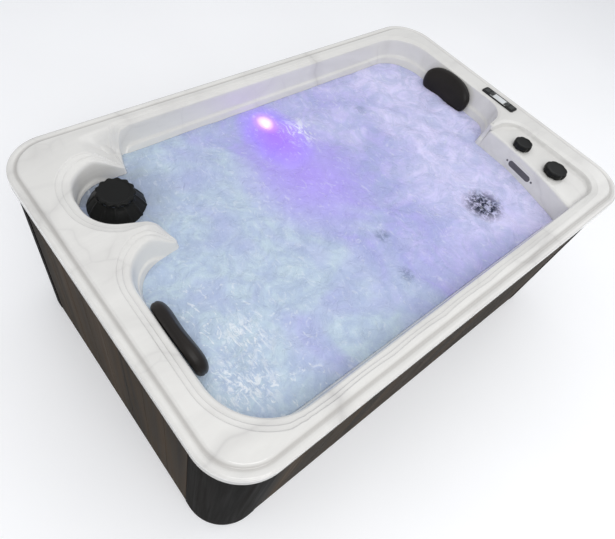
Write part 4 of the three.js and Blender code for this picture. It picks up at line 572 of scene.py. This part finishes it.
class Nodes:
    """The nodes of a world or a material. A node's input takes a constant or another's output."""

    def __init__(self, owner):
        owner.use_nodes = True
        self.tree = owner.node_tree
        self.tree.nodes.clear()

    def fill(self, node, values):
        for name, value in values.items():
            if isinstance(value, NodeSocket):
                self.tree.links.new(value, node.inputs[name])
            else:
                node.inputs[name].default_value = value

    def add(self, kind, inputs=None, **settings):
        node = self.tree.nodes.new(f"ShaderNode{kind}")
        for name, value in settings.items():
            setattr(node, name, value)
        self.fill(node, inputs or {})
        return node.outputs


class Finish(Nodes):
    """A material with one shader, and short calls for the nodes that these finishes use."""

    def __init__(self, name):
        self.material = bpy.data.materials.new(f"tub_{name}")
        super().__init__(self.material)
        self.shader = self.tree.nodes.new("ShaderNodeBsdfPrincipled")
        self.add("OutputMaterial", {0: self.shader.outputs[0]})
        self.place = self.add("TexCoord")["Object"]

    def set(self, **values):
        self.fill(self.shader, {name.replace("_", " "): value for name, value in values.items()})

    def scaled(self, scale, place=(0, 0, 0), turn=(0, 0, 0)):
        return self.add("Mapping", {"Scale": scale, "Location": place, "Rotation": turn,
                                    "Vector": self.place})[0]

    def noise(self, vector, scale, detail=3, rough=0.5, warp=0.0):
        return self.add("TexNoise", {"Scale": scale, "Detail": detail, "Roughness": rough,
                                     "Distortion": warp, "Vector": vector})["Fac"]

    def warped(self, vector, scale, amount):
        """The same vector pushed about by a coloured noise."""
        push = self.add("TexNoise", {"Scale": scale, "Vector": vector})["Color"]
        return self.vector("MULTIPLY_ADD", push, (amount,) * 3, vector)[0]

    def edges(self, vector, scale):
        """How far a point lies from the nearest border between random cells."""
        return self.add("TexVoronoi", {"Scale": scale, "Vector": vector},
                        feature="DISTANCE_TO_EDGE")["Distance"]

    def ramp(self, value, *stops):
        node = self.tree.nodes.new("ShaderNodeValToRGB")
        elements = node.color_ramp.elements
        while len(elements) < len(stops):
            elements.new(0.5)
        for element, (at, colour) in zip(elements, stops):
            element.position, element.color = at, rgba(colour)
        self.fill(node, {0: value})
        return node.outputs[0]

    def math(self, kind, *values):
        return self.add("Math", dict(enumerate(values)), operation=kind)[0]

    def vector(self, kind, *values):
        return self.add("VectorMath", dict(enumerate(values)), operation=kind)

    def times(self, product, *factors):
        for factor in factors:
            product = self.math("MULTIPLY", product, factor)
        return product

    def blend(self, share, a, b, kind="MIX"):
        return self.add("Mix", {0: share, 6: rgba(a), 7: rgba(b)}, data_type="RGBA", blend_type=kind)[2]

    def axis(self, name):
        return self.add("SeparateXYZ", {0: self.place})[name]

    def distance(self, place, scale):
        """How far a point lies from a place, each way stretched by the scale."""
        move = self.scaled(scale, tuple(-p * s for p, s in zip(place, scale)))
        return self.vector("LENGTH", move)["Value"]

    def rim_inset(self):
        """How far a point lies in from the rim's rounded rectangle, seen from above."""
        inner = (HALF_L - RIM_RADIUS, HALF_W - RIM_RADIUS, 9)
        past = self.vector("SUBTRACT", self.vector("ABSOLUTE", self.place)[0], inner)[0]
        away = self.vector("LENGTH", self.vector("MAXIMUM", past, (0, 0, 0))[0])["Value"]
        return self.math("SUBTRACT", RIM_RADIUS, away)

    def bump(self, height, strength, distance):
        node = self.add("Bump", {"Strength": strength, "Distance": distance, "Height": height})
        self.set(Normal=node[0])


def acrylic_finish(m):
    """Polished acrylic: soft grey veins along the warped borders of large random cells, most of
    them masked out, with a faint cloud between and painted shade as a darker line in the rim's groove."""
    look, scale = bpy.context.scene.tub_colours, bpy.context.scene.tub_sizes.vein_scale
    place = m.scaled((1, 1, 1), (0.3, 0.1, 0), (0, 0, 0.5))
    vein = m.ramp(m.edges(m.warped(place, 3.2, 0.34), scale), (0, 0.62), (0.022, 0.3), (0.10, 0))
    thin = m.ramp(m.edges(m.warped(place, 6.0, 0.16), scale * 2.1), (0, 0.34), (0.02, 0.14), (0.07, 0))
    where = m.ramp(m.noise(place, 1.9, 2), (0.40, 0), (0.58, 1))
    there = m.ramp(m.noise(place, 2.7, 2), (0.48, 0), (0.64, 1))
    drift = m.scaled((1.4, 5, 5), (0.2, 0.4, 0), (0, 0, 0.75))
    cloud = m.ramp(m.noise(drift, 1.6, 4, 0.6, 0.8), (0.42, 0), (0.68, 1))
    share = m.math("MAXIMUM", m.times(vein, where), m.times(thin, there))
    ground = m.blend(m.times(cloud, 0.2), look.acrylic, look.vein)
    veined = m.blend(m.times(share, 0.8), ground, look.vein)
    # painted shade: a darker grey line along the rim's groove, where the groove lies in shade
    groove = m.ramp(m.rim_inset(), (0.0195, 0), (0.0255, 1), (0.0305, 1), (0.036, 0))
    m.set(Base_Color=m.blend(m.times(groove, 0.5), veined, (0.33, 0.31, 0.285)),
          Roughness=0.16, Coat_Weight=0.25, Coat_Roughness=0.08)
    m.bump(m.noise(place, 60, 2), 0.03, 0.0006)


def board_finish(m):
    """Dark synthetic board: long upright streaks of brown in a near black ground, and darker
    past the corners' edges."""
    ground = np.array(bpy.context.scene.tub_colours.board)
    streak = m.noise(m.scaled((38, 38, 1.3)), 1.2, 6, 0.6, 0.4)
    broad = m.noise(m.scaled((7, 7, 0.35)), 1, 3, 0.5, 0.3)
    brown = ground * (2.5, 2.1, 1.75)
    tone = m.blend(m.ramp(broad, (0.4, 0), (0.72, 1)),
                   m.ramp(streak, (0.3, ground * 0.28), (0.52, ground), (0.75, brown)), brown)
    past = [m.math("GREATER_THAN", m.math("ABSOLUTE", m.axis(way)), half - BOARD_SHADE)
            for way, half in (("X", HALF_L), ("Y", HALF_W))]
    m.set(Base_Color=m.blend(m.times(*past, 0.93), tone, 0), IOR=1.15, Specular_IOR_Level=0.15,
          Roughness=m.ramp(streak, (0.3, 0.5), (0.7, 0.66)))
    m.bump(streak, 0.35, 0.0008)


def water_finish(m):
    """Churned water: pale blue, lilac towards the right, painted shade round the filter well, the lamp's
    light painted on as violet and a glow round it, a faint painted glow all over, and white crests,
    partly foam and partly painted glints, where a warped noise peaks."""
    look, level = bpy.context.scene.tub_colours, bpy.context.scene.tub_sizes.water_level
    zone = lambda x, y, size, *stops: m.ramp(m.distance((x, y, level), (*size, 1)), *stops)
    place = m.scaled((1, 1, 0.3))
    right = m.math("ADD", m.times(m.axis("X"), 0.55), m.times(m.noise(place, 3.1, 3, 0.5, 1.2), 0.9))
    across = m.ramp(right, (0.16, look.water), (0.48, (0.47, 0.46, 0.84)), (0.85, (0.76, 0.73, 1.0)))
    # painted shade: the water round the filter well is darkened towards grey
    shade = zone(-0.80, 0.40, (3.4, 4.0), (0.3, 1), (1.0, 0))
    body = m.blend(m.times(shade, 0.85), across, (0.23, 0.25, 0.31))
    patches = m.ramp(m.noise(place, 7.5, 5, 0.6, 2.4), (0.40, 0.5), (0.62, 0))
    body = m.blend(patches, body, (0.40, 0.48, 0.70))
    # painted light: violet colour round the lamp, where its light falls on the water
    near = zone(-0.04, 0.40, (6.5, 4.6), (0, 1), (0.5, 0.6), (1.0, 0))
    wide_glow = zone(-0.08, 0.15, (3.3, 2.9), (0, 1), (0.45, 0.66), (1.0, 0))
    body = m.blend(m.times(wide_glow, 0.88), body, (0.50, 0.37, 1.0))
    body = m.blend(m.times(near, 0.85), body, look.glow)
    mottle = m.ramp(m.noise(place, 46, 4, 0.7, 1.0), (0.40, 0.15), (0.54, 1))
    for x, y, size, tone, depth in [(0.488, -0.358, 10, (0.010, 0.016, 0.045), 1.0),
                                    (-0.02, -0.245, 24, (0.16, 0.20, 0.33), 0.6),
                                    (-0.07, -0.42, 24, (0.16, 0.20, 0.33), 0.6),
                                    (0.42, 0.345, 26, (0.25, 0.30, 0.45), 0.5)]:
        spot = zone(x, y, (size, size), (0.45, 1), (1.0, 0))
        body = m.blend(m.times(spot, mottle, depth), body, tone)
    # white crests and drops: partly foam, partly painted glints of light on the ripples
    churn = m.noise(m.scaled((1, 0.62, 0.3), turn=(0, 0, 0.9)), 30, 4, 0.6, 2.2)
    foam = zone(-0.76, -0.36, (3.6, 2.4), (0.2, 1), (1.0, 0.3))
    white = m.times(m.ramp(churn, (0.57, 0), (0.68, 1)), foam, 0.9)
    spray_and_glints = m.noise(m.scaled((1, 0.5, 0.3), turn=(0, 0, 0.7)), 34, 5, 0.68, 1.4)
    drops = m.ramp(spray_and_glints, (0.49, 0), (0.58, 1))
    for x, y, size in [(-0.80, -0.42, 7), (-0.70, -0.30, 9), (0.07, 0.36, 9)]:
        spot = zone(x, y, (size, size), (0.2, 1), (1.0, 0))
        white = m.math("MAXIMUM", white, m.times(spot, drops, 0.85))
    body = m.blend(white, body, (0.92, 0.95, 0.98))
    # painted glow: the lamp's pool of light as emission, and a faint emission over all the water as if lit
    # from below
    glow_core = zone(-0.03, 0.479, (17, 13), (0, (1.0, 0.9, 1.0)), (0.35, (0.75, 0.5, 1.0)),
                (0.6, (0.2, 0.06, 0.5)), (1.0, 0))
    glow_haze = m.blend(near, 0, (0.06, 0.02, 0.30))
    lit = m.blend(0.08, m.blend(1.0, glow_core, glow_haze, "ADD"), body, "ADD")
    m.set(Base_Color=body, Emission_Color=lit, Roughness=0.12, IOR=1.33, Alpha=0.84,
          Emission_Strength=1.0)
    m.bump(m.noise(place, 20, 5, 0.62, 1.8), 0.8, 0.012)


def pillow_finish(m):
    """Soft moulded foam skin: dark brown black, fine pebble grain, broad soft highlights."""
    low, high = (0.009, 0.008, 0.0072), (0.02, 0.016, 0.0135)
    m.set(Base_Color=m.ramp(m.noise(m.place, 7), (0.3, low), (0.7, high)),
          Roughness=m.ramp(m.noise(m.place, 30, 2), (0.3, 0.34), (0.7, 0.44)), IOR=1.3)
    m.bump(m.noise(m.place, 520, 2), 0.12, 0.0005)


def keypad_finish(m):
    """Black keypad with a pale display field, cut from the middle of its box."""
    low, high = np.array(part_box("keypad_body"))
    middle, half = (low + high) / 2, (high - low) / 2 * (0.74, 0.5, 1)
    inside = [m.math("LESS_THAN", m.math("ABSOLUTE", m.math("SUBTRACT", m.axis(way), middle[i])), half[i])
              for i, way in enumerate("XY")]
    m.set(Base_Color=m.blend(m.times(*inside), (0.008, 0.0082, 0.0075), (0.66, 0.67, 0.66)),
          Roughness=m.ramp(m.noise(m.place, 40, 2), (0.3, 0.25), (0.7, 0.34)), IOR=1.3)


def lens_finish(m):
    """A lit lens: white in the middle and violet towards its edge."""
    ring = m.distance(tuple(np.array(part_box("led_lens")).mean(0)), (48, 48, 48))
    tone = m.ramp(ring, (0.25, (1, 0.97, 1)), (1.0, bpy.context.scene.tub_colours.glow))
    m.set(Base_Color=tone, Emission_Color=tone, Emission_Strength=7.0, Roughness=0.2)


def stock_finish(m, colour, rough, grain, scale, metal=0, index=1.45):
    """Moulded or drawn stock: an even colour with a slight cloud and a fine surface grain."""
    low, high = np.array(colour) * 0.86, np.minimum(1, np.array(colour) * 1.14)
    m.set(Base_Color=m.ramp(m.noise(m.place, 9), (0.3, low), (0.7, high)), Metallic=metal, IOR=index,
          Roughness=m.ramp(m.noise(m.place, 26), (0.3, rough * 0.88), (0.7, rough * 1.12)))
    if grain:
        m.bump(m.noise(m.place, scale, 2), grain, 0.0004)


MADE = {"acrylic": acrylic_finish, "board": board_finish, "water": water_finish,
        "pillow_skin": pillow_finish, "keypad": keypad_finish, "lens": lens_finish}
# Stock: colour, roughness, strength and scale of the grain, and metal and refraction if need be
STOCK = {
    "frame_steel": ((0.42, 0.43, 0.44), 0.42, 0.05, 300, 0.85),
    "pan_plastic": ((0.024, 0.024, 0.024), 0.6, 0.2, 260),
    "black_plastic": ((0.008, 0.0082, 0.0075), 0.42, 0.12, 700, 0, 1.25),
    "window": ((0.70, 0.72, 0.72), 0.12, 0, 400),
    "grey_plastic": ((0.105, 0.10, 0.105), 0.45, 0.15, 500),
    "button": ((0.03, 0.032, 0.03), 0.45, 0.15, 500),
    "pipe_plastic": ((0.70, 0.71, 0.68), 0.38, 0.05, 300),
    "steel": ((0.60, 0.61, 0.62), 0.26, 0.08, 600, 1),
    "motor_paint": ((0.035, 0.043, 0.047), 0.45, 0.25, 300),
    "filter_paper": ((0.78, 0.80, 0.81), 0.9, 0.4, 500),
}


def finish(name):
    """The finish of that name, made once."""
    made = bpy.data.materials.get(f"tub_{name}")
    if made:
        return made
    m = Finish(name)
    if name in MADE:
        MADE[name](m)
    else:
        stock_finish(m, *STOCK[name])
    return m.material


# The lights: name, place, size and power
LIGHTS = [("key", (-1.6, -2.6, 3.6), 2.6, 63), ("fill", (2.8, -1.2, 3.2), 3.0, 23),
          ("top", (0.2, 1.0, 3.8), 3.0, 17), ("side", (-3.6, 1.0, 1.3), 2.0, 9)]
# The camera: its place, and its right, up and back ways
EYE_PLACE = (-1.25318, -0.79576, 2.05417)
EYE_WAYS = ((0.765434, -0.619393, 0.174538), (0.443763, 0.704473, 0.553889),
            (-0.466032, -0.346511, 0.814091))


class TUB_OT_stage(Operator):
    """Sets the floor, the light and the camera"""
    bl_idname = "tub.stage"
    bl_label = "Floor, light and camera"

    def execute(self, context):
        scene = context.scene
        scene.view_settings.view_transform = "Standard"
        floor = bpy.data.meshes.new("floor")
        floor.from_pydata([(-9, -9, 0), (9, -9, 0), (9, 9, 0), (-9, 9, 0)], [], [(0, 1, 2, 3)])
        ground = added("floor", floor)
        m = Finish("floor")
        m.set(Base_Color=m.ramp(m.noise(m.place, 1.5, 2), (0.3, 0.95), (0.7, 0.97)),
              Roughness=0.7, Emission_Strength=0.14, Emission_Color=(1, 1, 1, 1))
        floor.materials.append(m.material)
        self.sky(scene)
        for name, place, size, power in LIGHTS:
            light = bpy.data.lights.new(name, "AREA")
            light.size, light.energy = size, power
            lamp = added(name, light)
            lamp.location = place
            lamp.rotation_euler = (Vector((0, 0, 0.5)) - Vector(place)).to_track_quat("-Z", "Y").to_euler()
        camera = bpy.data.cameras.new("camera")
        camera.lens, camera.sensor_width = 29.45, 36
        camera.shift_x, camera.shift_y = 0.0318, 0.0142
        scene.camera = added("camera", camera)
        scene.camera.matrix_world = Matrix.Translation(EYE_PLACE) @ Matrix(EYE_WAYS).transposed().to_4x4()
        return {"FINISHED"}

    def sky(self, scene):
        """A white sky where it is seen, and a dimmer one for the light that it gives."""
        scene.world = bpy.data.worlds.new("sky")
        sky = Nodes(scene.world)
        path = sky.add("LightPath")
        seen = sky.add("Math", {0: path["Is Camera Ray"], 1: path["Is Transmission Ray"]},
                       operation="MAXIMUM")
        dim = sky.add("Background", {"Color": (0.93, 0.95, 1, 1), "Strength": 0.62})
        bright = sky.add("Background", {"Color": (1, 1, 1, 1), "Strength": 1.0})
        both = sky.add("MixShader", {0: seen[0], 1: dim[0], 2: bright[0]})
        sky.add("OutputWorld", {0: both[0]})


# Coarse rings of the shell's upper face: the deck's inner edge, the basin's edge, the lip under
# it, and the first ring on the floor. Then how many fine rows round each coarse ring's bend
DECK_RING, EDGE_RING, LIP_RING, FLOOR_RING = 7, 13, 14, 23
BEND_ROWS = [1, 4, 3, 4, 4, 3, 3, 1, 1, 3, 2, 3, 2, 3, 5] + [5] * 8


class TUB_OT_shell(Operator):
    """Makes the moulded acrylic shell and the water in it"""
    bl_idname = "tub.shell"
    bl_label = "Shell and water"

    def execute(self, context):
        c = basin_columns(FINE)
        rings = coarse_rings(c)
        steps = BEND_ROWS + [3] * (len(rings) - FLOOR_RING)
        fine = rounded_profile(rings, ring_rounding(c["kind"], len(rings)), steps)
        start, edge = sum(steps[:FLOOR_RING]), sum(steps[:EDGE_RING])
        fine[start:] = on_floor(fine[start:, :, :2])
        fine[edge:] = flattened(fine[edge:])
        points, faces = shell_faces(fine, self.underside(c, rings), sum(steps[:DECK_RING]))
        placed_piece("tub_shell", points, faces, "acrylic", "tub", ("shell",))
        self.water(sunk(fine)[edge:], context.scene.tub_sizes)
        return {"FINISHED"}

    def underside(self, c, rings):
        """The lip's inside, a flat flange with cut corners, and the walls and floor shifted by
        their thickness."""
        rim = c["rim"]
        t = rim % 2
        chord = np.where(t < 1, np.sqrt(0.5) / np.cos((t - 0.5) * np.pi / 2), 1)
        flange = rim_ring(rim, 0, FLANGE_DROP)
        corner = np.array([HALF_L, HALF_W]) - RIM_RADIUS
        near = np.clip(flange[:, :2], -corner, corner)
        way = flange[:, :2] - near
        flange[:, :2] = near + way * ((RIM_RADIUS - FLANGE_INSET) * chord / lengths(way))[:, None]
        way = np.column_stack([c["normal"], np.zeros(len(rim))])
        edge = rings[LIP_RING] - way * SHEET
        edge[:, 2] = np.minimum(edge[:, 2] - LIP_DROP, HEIGHT - FLANGE_DROP)
        out = [rim_ring(rim, LIP_INSET, drop) for drop in (RIM_DEPTH, FLANGE_DROP)] + [flange, edge]
        for i, outward, down in [(15, 1, 0.9), (16, 1, 0.6), (18, 1, 0.6), (19, 1, 0.8),
                                 (20, 0.6, 1), (21, 0.4, 1), (22, 0, 1)]:
            out.append(rings[i] - (way * outward + (0, 0, down)) * SHEET)
        return np.array(out + list(rings[FLOOR_RING:] - (0, 0, SHEET)))

    def water(self, walls, sizes, rows=70, depth=0.012):
        """A level sheet from the walls' contour to the middle, lifted by sums of sines whose
        height fades at the walls and in the middle. Its underside is flat."""
        level, j = sizes.water_level, np.arange(walls.shape[1])
        k = np.argmax(walls[:, :, 2] < level, axis=0)
        above, below = walls[k - 1, j], walls[k, j]
        t = ((above[:, 2] - level) / np.maximum(above[:, 2] - below[:, 2], 1e-6))[:, None]
        shore = mixed(above, below, np.clip(t, 0, 1))
        shares = np.linspace(0, 1, rows) ** 1.15
        flat = mixed(shore[None, :, :2], spine_oval(shore, 0.012)[None], shares[:, None, None])
        x, y = flat[..., 0], flat[..., 1]
        lift = np.zeros_like(x)
        rng = np.random.default_rng(7)
        for number, turn, phase in rng.uniform((14, 0, 0), (90, 2 * np.pi, 2 * np.pi), (22, 3)):
            way = number * (x * np.cos(turn) + y * np.sin(turn))
            bend = 0.7 * np.sin(9 * x * np.sin(turn) - 7 * y + phase)
            lift += np.sin(way + phase + bend) * (22 / number) ** 0.8
        fade = mixed(0.25, 1, eased(shares / 0.12)) * eased((1 - shares) / 0.2)
        top = np.dstack([x, y, level + lift * sizes.ripple * 0.45 * fade[:, None]])
        under = np.concatenate([top[::10], top[-1:]])
        under[..., 2] = level - depth
        placed_piece("water", *shell_faces(top, under), "water", "tub", slot="lens")


class TUB_OT_cabinet(Operator):
    """Makes the rounded corner panels and gives the cabinet its finish"""
    bl_idname = "tub.cabinet"
    bl_label = "Cabinet"

    def execute(self, context):
        a = np.linspace(0, np.pi / 2, 33)[:, None]
        half = np.array([HALF_L, HALF_W])
        arc = lambda inset: half - RIM_RADIUS + (RIM_RADIUS - inset) * np.hstack([np.cos(a), np.sin(a)])
        (x, y), (tab_x, tab_y) = half - BOARD_REACH, half - BOARD_REACH + BOARD_TAB
        (face_x, face_y), (skin_x, skin_y), (frame_x, frame_y) = (
            half - inset for inset in (BOARD_FACE, BOARD_SKIN, BOARD_FRAME))
        outline = np.vstack([
            [[x, face_y]], arc(BOARD_FACE)[::-1],
            [[face_x, y], [frame_x, y], [frame_x, tab_y], [skin_x, tab_y]],
            arc(BOARD_SKIN), [[tab_x, skin_y], [tab_x, frame_y], [x, frame_y]]])
        for name, sx, sy in [("front_left", -1, -1), ("front_right", 1, -1),
                             ("back_right", 1, 1), ("back_left", -1, 1)]:
            box = np.array(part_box(f"corner_{name}"))
            loop = (outline * (sx, sy))[::-sx * sy]
            points = np.vstack([np.column_stack([loop, np.full(len(loop), z)]) for z in box[:, 2]])
            obj = placed_piece(f"corner_board_{name}", points, closed_faces(2, len(loop)), "board",
                               "tub", (f"corner_{name}",))
            obj.data.set_sharp_from_angle(angle=0.6)
        dress("board", "front_panel", "back_panel", "left_panel", "access_panel")
        return {"FINISHED"}


# Pillow: half its length and width, its depth, and the seam's height and share of the rows
PILLOW_HALF, PILLOW_DEPTH, SEAM, SEAM_SHARE = (0.136, 0.076), 0.0575, 0.018, 0.22


class TUB_OT_pillows(Operator):
    """Makes the two headrest pillows"""
    bl_idname = "tub.pillows"
    bl_label = "Pillows"

    def execute(self, context):
        for side in ("left", "right"):
            joint = next(j for j in frame["joints"] if j["name"] == f"{side}_pillow_pull")
            box = np.array(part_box(f"{side}_pillow"))
            points, faces = self.pillow()
            points = points.reshape(-1, 3) @ seat_axes(joint["axis"])
            points += box.mean(0) - (points.min(0) + points.max(0)) / 2
            obj = placed_piece(f"{side}_headrest_pad", points, faces, "pillow_skin",
                               f"{side}_headrest", (f"{side}_pillow",))
        return {"FINISHED"}

    def pillow(self, rows=26, n=96):
        """A kidney outline: half an ellipse above and a blunter curve with a waist below. Rings
        shrink from the seam to the crown as a superellipse, draw in behind the seam, and dip
        in the middle as the square of one less the square of the place along it."""
        c, s = np.cos(around(n)), np.sin(around(n))
        x = np.sign(c) * np.abs(c) ** 0.85
        y = np.where(s > 0, s, -np.abs(s) ** 0.7 * (1 - 0.3 * (1 - x * x) ** 2))
        t = np.linspace(0, 1, rows)[:, None]
        below, turn = t / SEAM_SHARE, np.clip((t - SEAM_SHARE) / (1 - SEAM_SHARE), 0, 1) * np.pi / 2
        seam = t < SEAM_SHARE
        share = np.where(seam, mixed(0.9, 1.0, np.sin(below * np.pi / 2)), np.cos(turn) ** 0.62)
        height = np.where(seam, SEAM * below ** 1.3, SEAM + (PILLOW_DEPTH - SEAM) * np.sin(turn) ** 0.85)
        share = np.maximum(share, 0.02)
        dip = 0.21 * (1 - (share * x) ** 2) ** 2 * PILLOW_DEPTH * eased((t - SEAM_SHARE) / 0.5)
        share = share - 0.012 * np.exp(-((t - 0.24) / 0.022) ** 2)
        points = np.dstack([share * x * PILLOW_HALF[0], share * y * PILLOW_HALF[1], height - dip])
        return points, closed_faces(rows, n)


# Rows of a grip: share of its radius, height, and how far the lobes reach there
KNOB_PROFILE = [
    (0.93, 0, 0.9), (0.965, 0.0004, 1), (0.985, 0.002, 1), (1, 0.006, 1), (1, 0.012, 1),
    (0.995, 0.0155, 1), (0.975, 0.0182, 0.95), (0.94, 0.0197, 0.85), (0.89, 0.02, 0.7),
    (0.8, 0.0198, 0.4), (0.72, 0.0192, 0.2), (0.5, 0.0188, 0), (0.25, 0.0187, 0), (0.04, 0.0187, 0)]


class TUB_OT_controls(Operator):
    """Makes the two lobed knobs and dresses the valves and the keypad"""
    bl_idname = "tub.controls"
    bl_label = "Controls"

    def execute(self, context):
        a = around(128)
        wave = 0.035 * np.cos(8 * a) - 0.012 * np.cos(16 * a)
        for name, body, radius in [("diverter", "diverter", 0.0495), ("air", "air_control", 0.0405)]:
            box = np.array(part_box(f"{name}_knob"))
            lobed_grip(f"{name}_grip", np.array(KNOB_PROFILE) * (1, 1.2, 1), wave, 0.035, radius,
                       foot_of(box), body, f"{name}_knob")
            dress("black_plastic", f"{name}_valve")
        dress("keypad", "keypad_body")
        dress("window", "keypad_window")
        dress("button", *[f"keypad_button_{i}" for i in range(1, 5)])
        return {"FINISHED"}


CAP_PROFILE = [
    (0.9, 0, 0.9), (0.95, 0.0004, 1), (0.985, 0.0025, 1), (1, 0.006, 1), (0.995, 0.0105, 1),
    (0.97, 0.0135, 0.9), (0.93, 0.0148, 0.7), (0.88, 0.015, 0.45), (0.83, 0.0146, 0.2),
    (0.81, 0.0134, 0.05), (0.795, 0.0128, 0), (0.6, 0.0128, 0), (0.3, 0.0128, 0), (0.03, 0.0128, 0)]
# Skirt: radius, drop from its top and the rib's share, from the tube's outside round the flare
SKIRT_PROFILE = [
    (0.064, 0.05, 0), (0.064, 0.014, 0),
    (0.0985, 0.0555, 0), (0.0985, 0.061, 0), (0.0993, 0.062, 0), (0.101, 0.062, 0),
    (0.1018, 0.061, 0), (0.1017, 0.0555, 0.2), (0.0995, 0.053, 0.8), (0.093, 0.0425, 1),
    (0.082, 0.026, 1), (0.071, 0.0115, 1), (0.064, 0.003, 0.4), (0.064, 0.0006, 0), (0.0634, 0, 0)]


class TUB_OT_filter(Operator):
    """Makes the lobed filter cap and the ribbed skirt"""
    bl_idname = "tub.filter"
    bl_label = "Filter"

    def execute(self, context):
        box = np.array(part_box("filter_cap"))
        lobed_grip("filter_lid", CAP_PROFILE, 0.05 * np.cos(13 * around(260)), 0.05, 0.0685,
                   foot_of(box), "filter_top", "filter_cap")
        self.skirt()
        dress("filter_paper", "filter_cartridge")
        dress("pan_plastic", "filter_canister")
        return {"FINISHED"}

    def skirt(self):
        """A flared skirt: a turned ring of a wall whose outside carries twelve raised ribs, down
        the inside of the tube, up its outside, out under the flare and back over it."""
        box = np.array(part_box("filter_skirt"))
        a, depth = around(288), box[1][2] - box[0][2]
        rib = 0.0035 * np.clip(1.6 * np.cos(12 * a) - 0.9, 0, 0.7) / 0.7
        inside = [(0.061, 0, 0), (0.061, 0.05, 0), (0.061, depth, 0), (0.064, depth, 0)]
        profile = np.array(inside + SKIRT_PROFILE)
        r = profile[:, :1] + profile[:, 2:] * rib
        points = turned(r, -profile[:, 1:2]) + (*box.mean(0)[:2], box[1][2])
        placed_piece("filter_collar", points, closed_faces(*r.shape, ring=True), "black_plastic",
                     "filter", ("filter_skirt",))


# Pills of the waterfall's mouth and screws: place along it, half a straight side, radius
PILLS = [(0, 0.049, 0.0138), (-0.074, 0, 0.0048), (0.074, 0, 0.0048)]
# A bezel's section: radius and height
BEZEL_PROFILE = np.array([
    (0.0196, 0.0034), (0.0198, 0.0052), (0.0212, 0.0062), (0.0236, 0.006), (0.0258, 0.0046),
    (0.0272, 0.0028), (0.0272, 0.0024), (0.0258, 0.0034)])


class TUB_OT_fittings(Operator):
    """Dresses the jets, lamp, waterfall and suctions, and adds the jets' dark bezels"""
    bl_idname = "tub.fittings"
    bl_label = "Water fittings"

    def execute(self, context):
        dress("black_plastic", *[f"jet_face_{i}" for i in range(1, 13)], "foot_jet_housing",
              "foot_jet_face", "suction_cover_front", "suction_cover_back")
        dress("acrylic", "waterfall_plate")
        dress("grey_plastic", "waterfall_spout")
        dress("steel", "led_housing")
        dress("lens", "led_lens")
        self.bezels()
        self.throat()
        return {"FINISHED"}

    def throat(self, n=48, proud=0.0005, depth=0.0004):
        """The waterfall's dark mouth and its two screws: pills, each a ring of a half circle at
        either end, laid on the plate's largest face."""
        plate = frame["nodes"]["waterfall_plate"].data
        ways, areas = (np.array([getattr(f, name) for f in plate.polygons]) for name in ("normal", "area"))
        way = ways[np.argmax((ways @ ways.T > 0.999) @ areas * (ways[:, 0] < -0.5))]
        side = np.cross(way, (0, 0, 1))
        side /= np.linalg.norm(side)
        front = max(np.array(v.co) @ way for v in plate.vertices)
        centre = np.array(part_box("waterfall_plate")).mean(0)
        centre = centre + way * (front + proud - centre @ way)
        a = around(n)
        points, faces = [], []
        for offset, half, radius in PILLS:
            x = offset + half * np.where(np.cos(a) >= 0, 1, -1) + radius * np.cos(a)
            ring = centre + x[:, None] * side + radius * np.sin(a)[:, None] * np.cross(side, way)
            faces += [[v + len(points) * n for v in face] for face in closed_faces(2, n)]
            points += [ring - way * depth, ring]
        placed_piece("waterfall_mouth", points, faces, "grey_plastic", "tub", smooth=False)

    def bezels(self, n=40):
        """Rings round the jets: a rounded section carried round a circle on each seat."""
        rows = len(BEZEL_PROFILE)
        ring = turned(np.repeat(BEZEL_PROFILE[:, :1], n, 1), BEZEL_PROFILE[:, 1:]).reshape(-1, 3)
        quads = grid_faces(rows, n, ring=True)[:, [1, 0, 3, 2]]
        points = [ring @ axes + place - axes[2] * JET_LIFT for place, axes in jet_seats("jet_")]
        faces = np.vstack([quads + i * len(ring) for i in range(len(points))]).tolist()
        placed_piece("jet_bezels", points, faces, "black_plastic", "tub")


WORKS = {
    "pan_plastic": ("base_pan",),
    "frame_steel": ("frame_front", "frame_back", "frame_left", "frame_right"),
    "pipe_plastic": ("jet_line_front", "jet_line_back", "suction_line", "header_line", "drain_valve"),
    "black_plastic": ("pump_wet_end", "drain_cap"),
    "motor_paint": ("pump_motor",),
    "steel": ("heater_tube",),
    "grey_plastic": ("control_box",),
}


class TUB_OT_works(Operator):
    """Dresses the pan, the frames, the pipes, the pump and what is with them"""
    bl_idname = "tub.works"
    bl_label = "Frame and works"

    def execute(self, context):
        for name, nodes in WORKS.items():
            dress(name, *nodes)
        return {"FINISHED"}


class TUB_PT_panel(Panel):
    bl_idname = "TUB_PT_panel"
    bl_label = "Hot tub"
    bl_space_type = "VIEW_3D"
    bl_region_type = "UI"
    bl_category = "Hot tub"

    def draw(self, context):
        scene = context.scene
        for group in (scene.tub_sizes, scene.tub_colours):
            for name in group.__annotations__:
                self.layout.prop(group, name)
        for operator in OPERATORS:
            self.layout.operator(operator.bl_idname)


OPERATORS = (TUB_OT_stage, TUB_OT_shell, TUB_OT_cabinet, TUB_OT_pillows, TUB_OT_controls,
             TUB_OT_filter, TUB_OT_fittings, TUB_OT_works)
CLASSES = (TubSizes, TubColours, *OPERATORS, TUB_PT_panel)


def register():
    for cls in CLASSES:
        bpy.utils.register_class(cls)
    bpy.types.Scene.tub_sizes = PointerProperty(type=TubSizes)
    bpy.types.Scene.tub_colours = PointerProperty(type=TubColours)


def unregister():
    del bpy.types.Scene.tub_sizes
    del bpy.types.Scene.tub_colours
    for cls in reversed(CLASSES):
        bpy.utils.unregister_class(cls)


def main():
    register()
    bpy.ops.tub.stage()
    bpy.ops.tub.shell()
    bpy.ops.tub.cabinet()
    bpy.ops.tub.pillows()
    bpy.ops.tub.controls()
    bpy.ops.tub.filter()
    bpy.ops.tub.fittings()
    bpy.ops.tub.works()


if __name__ == "__main__":
    main()
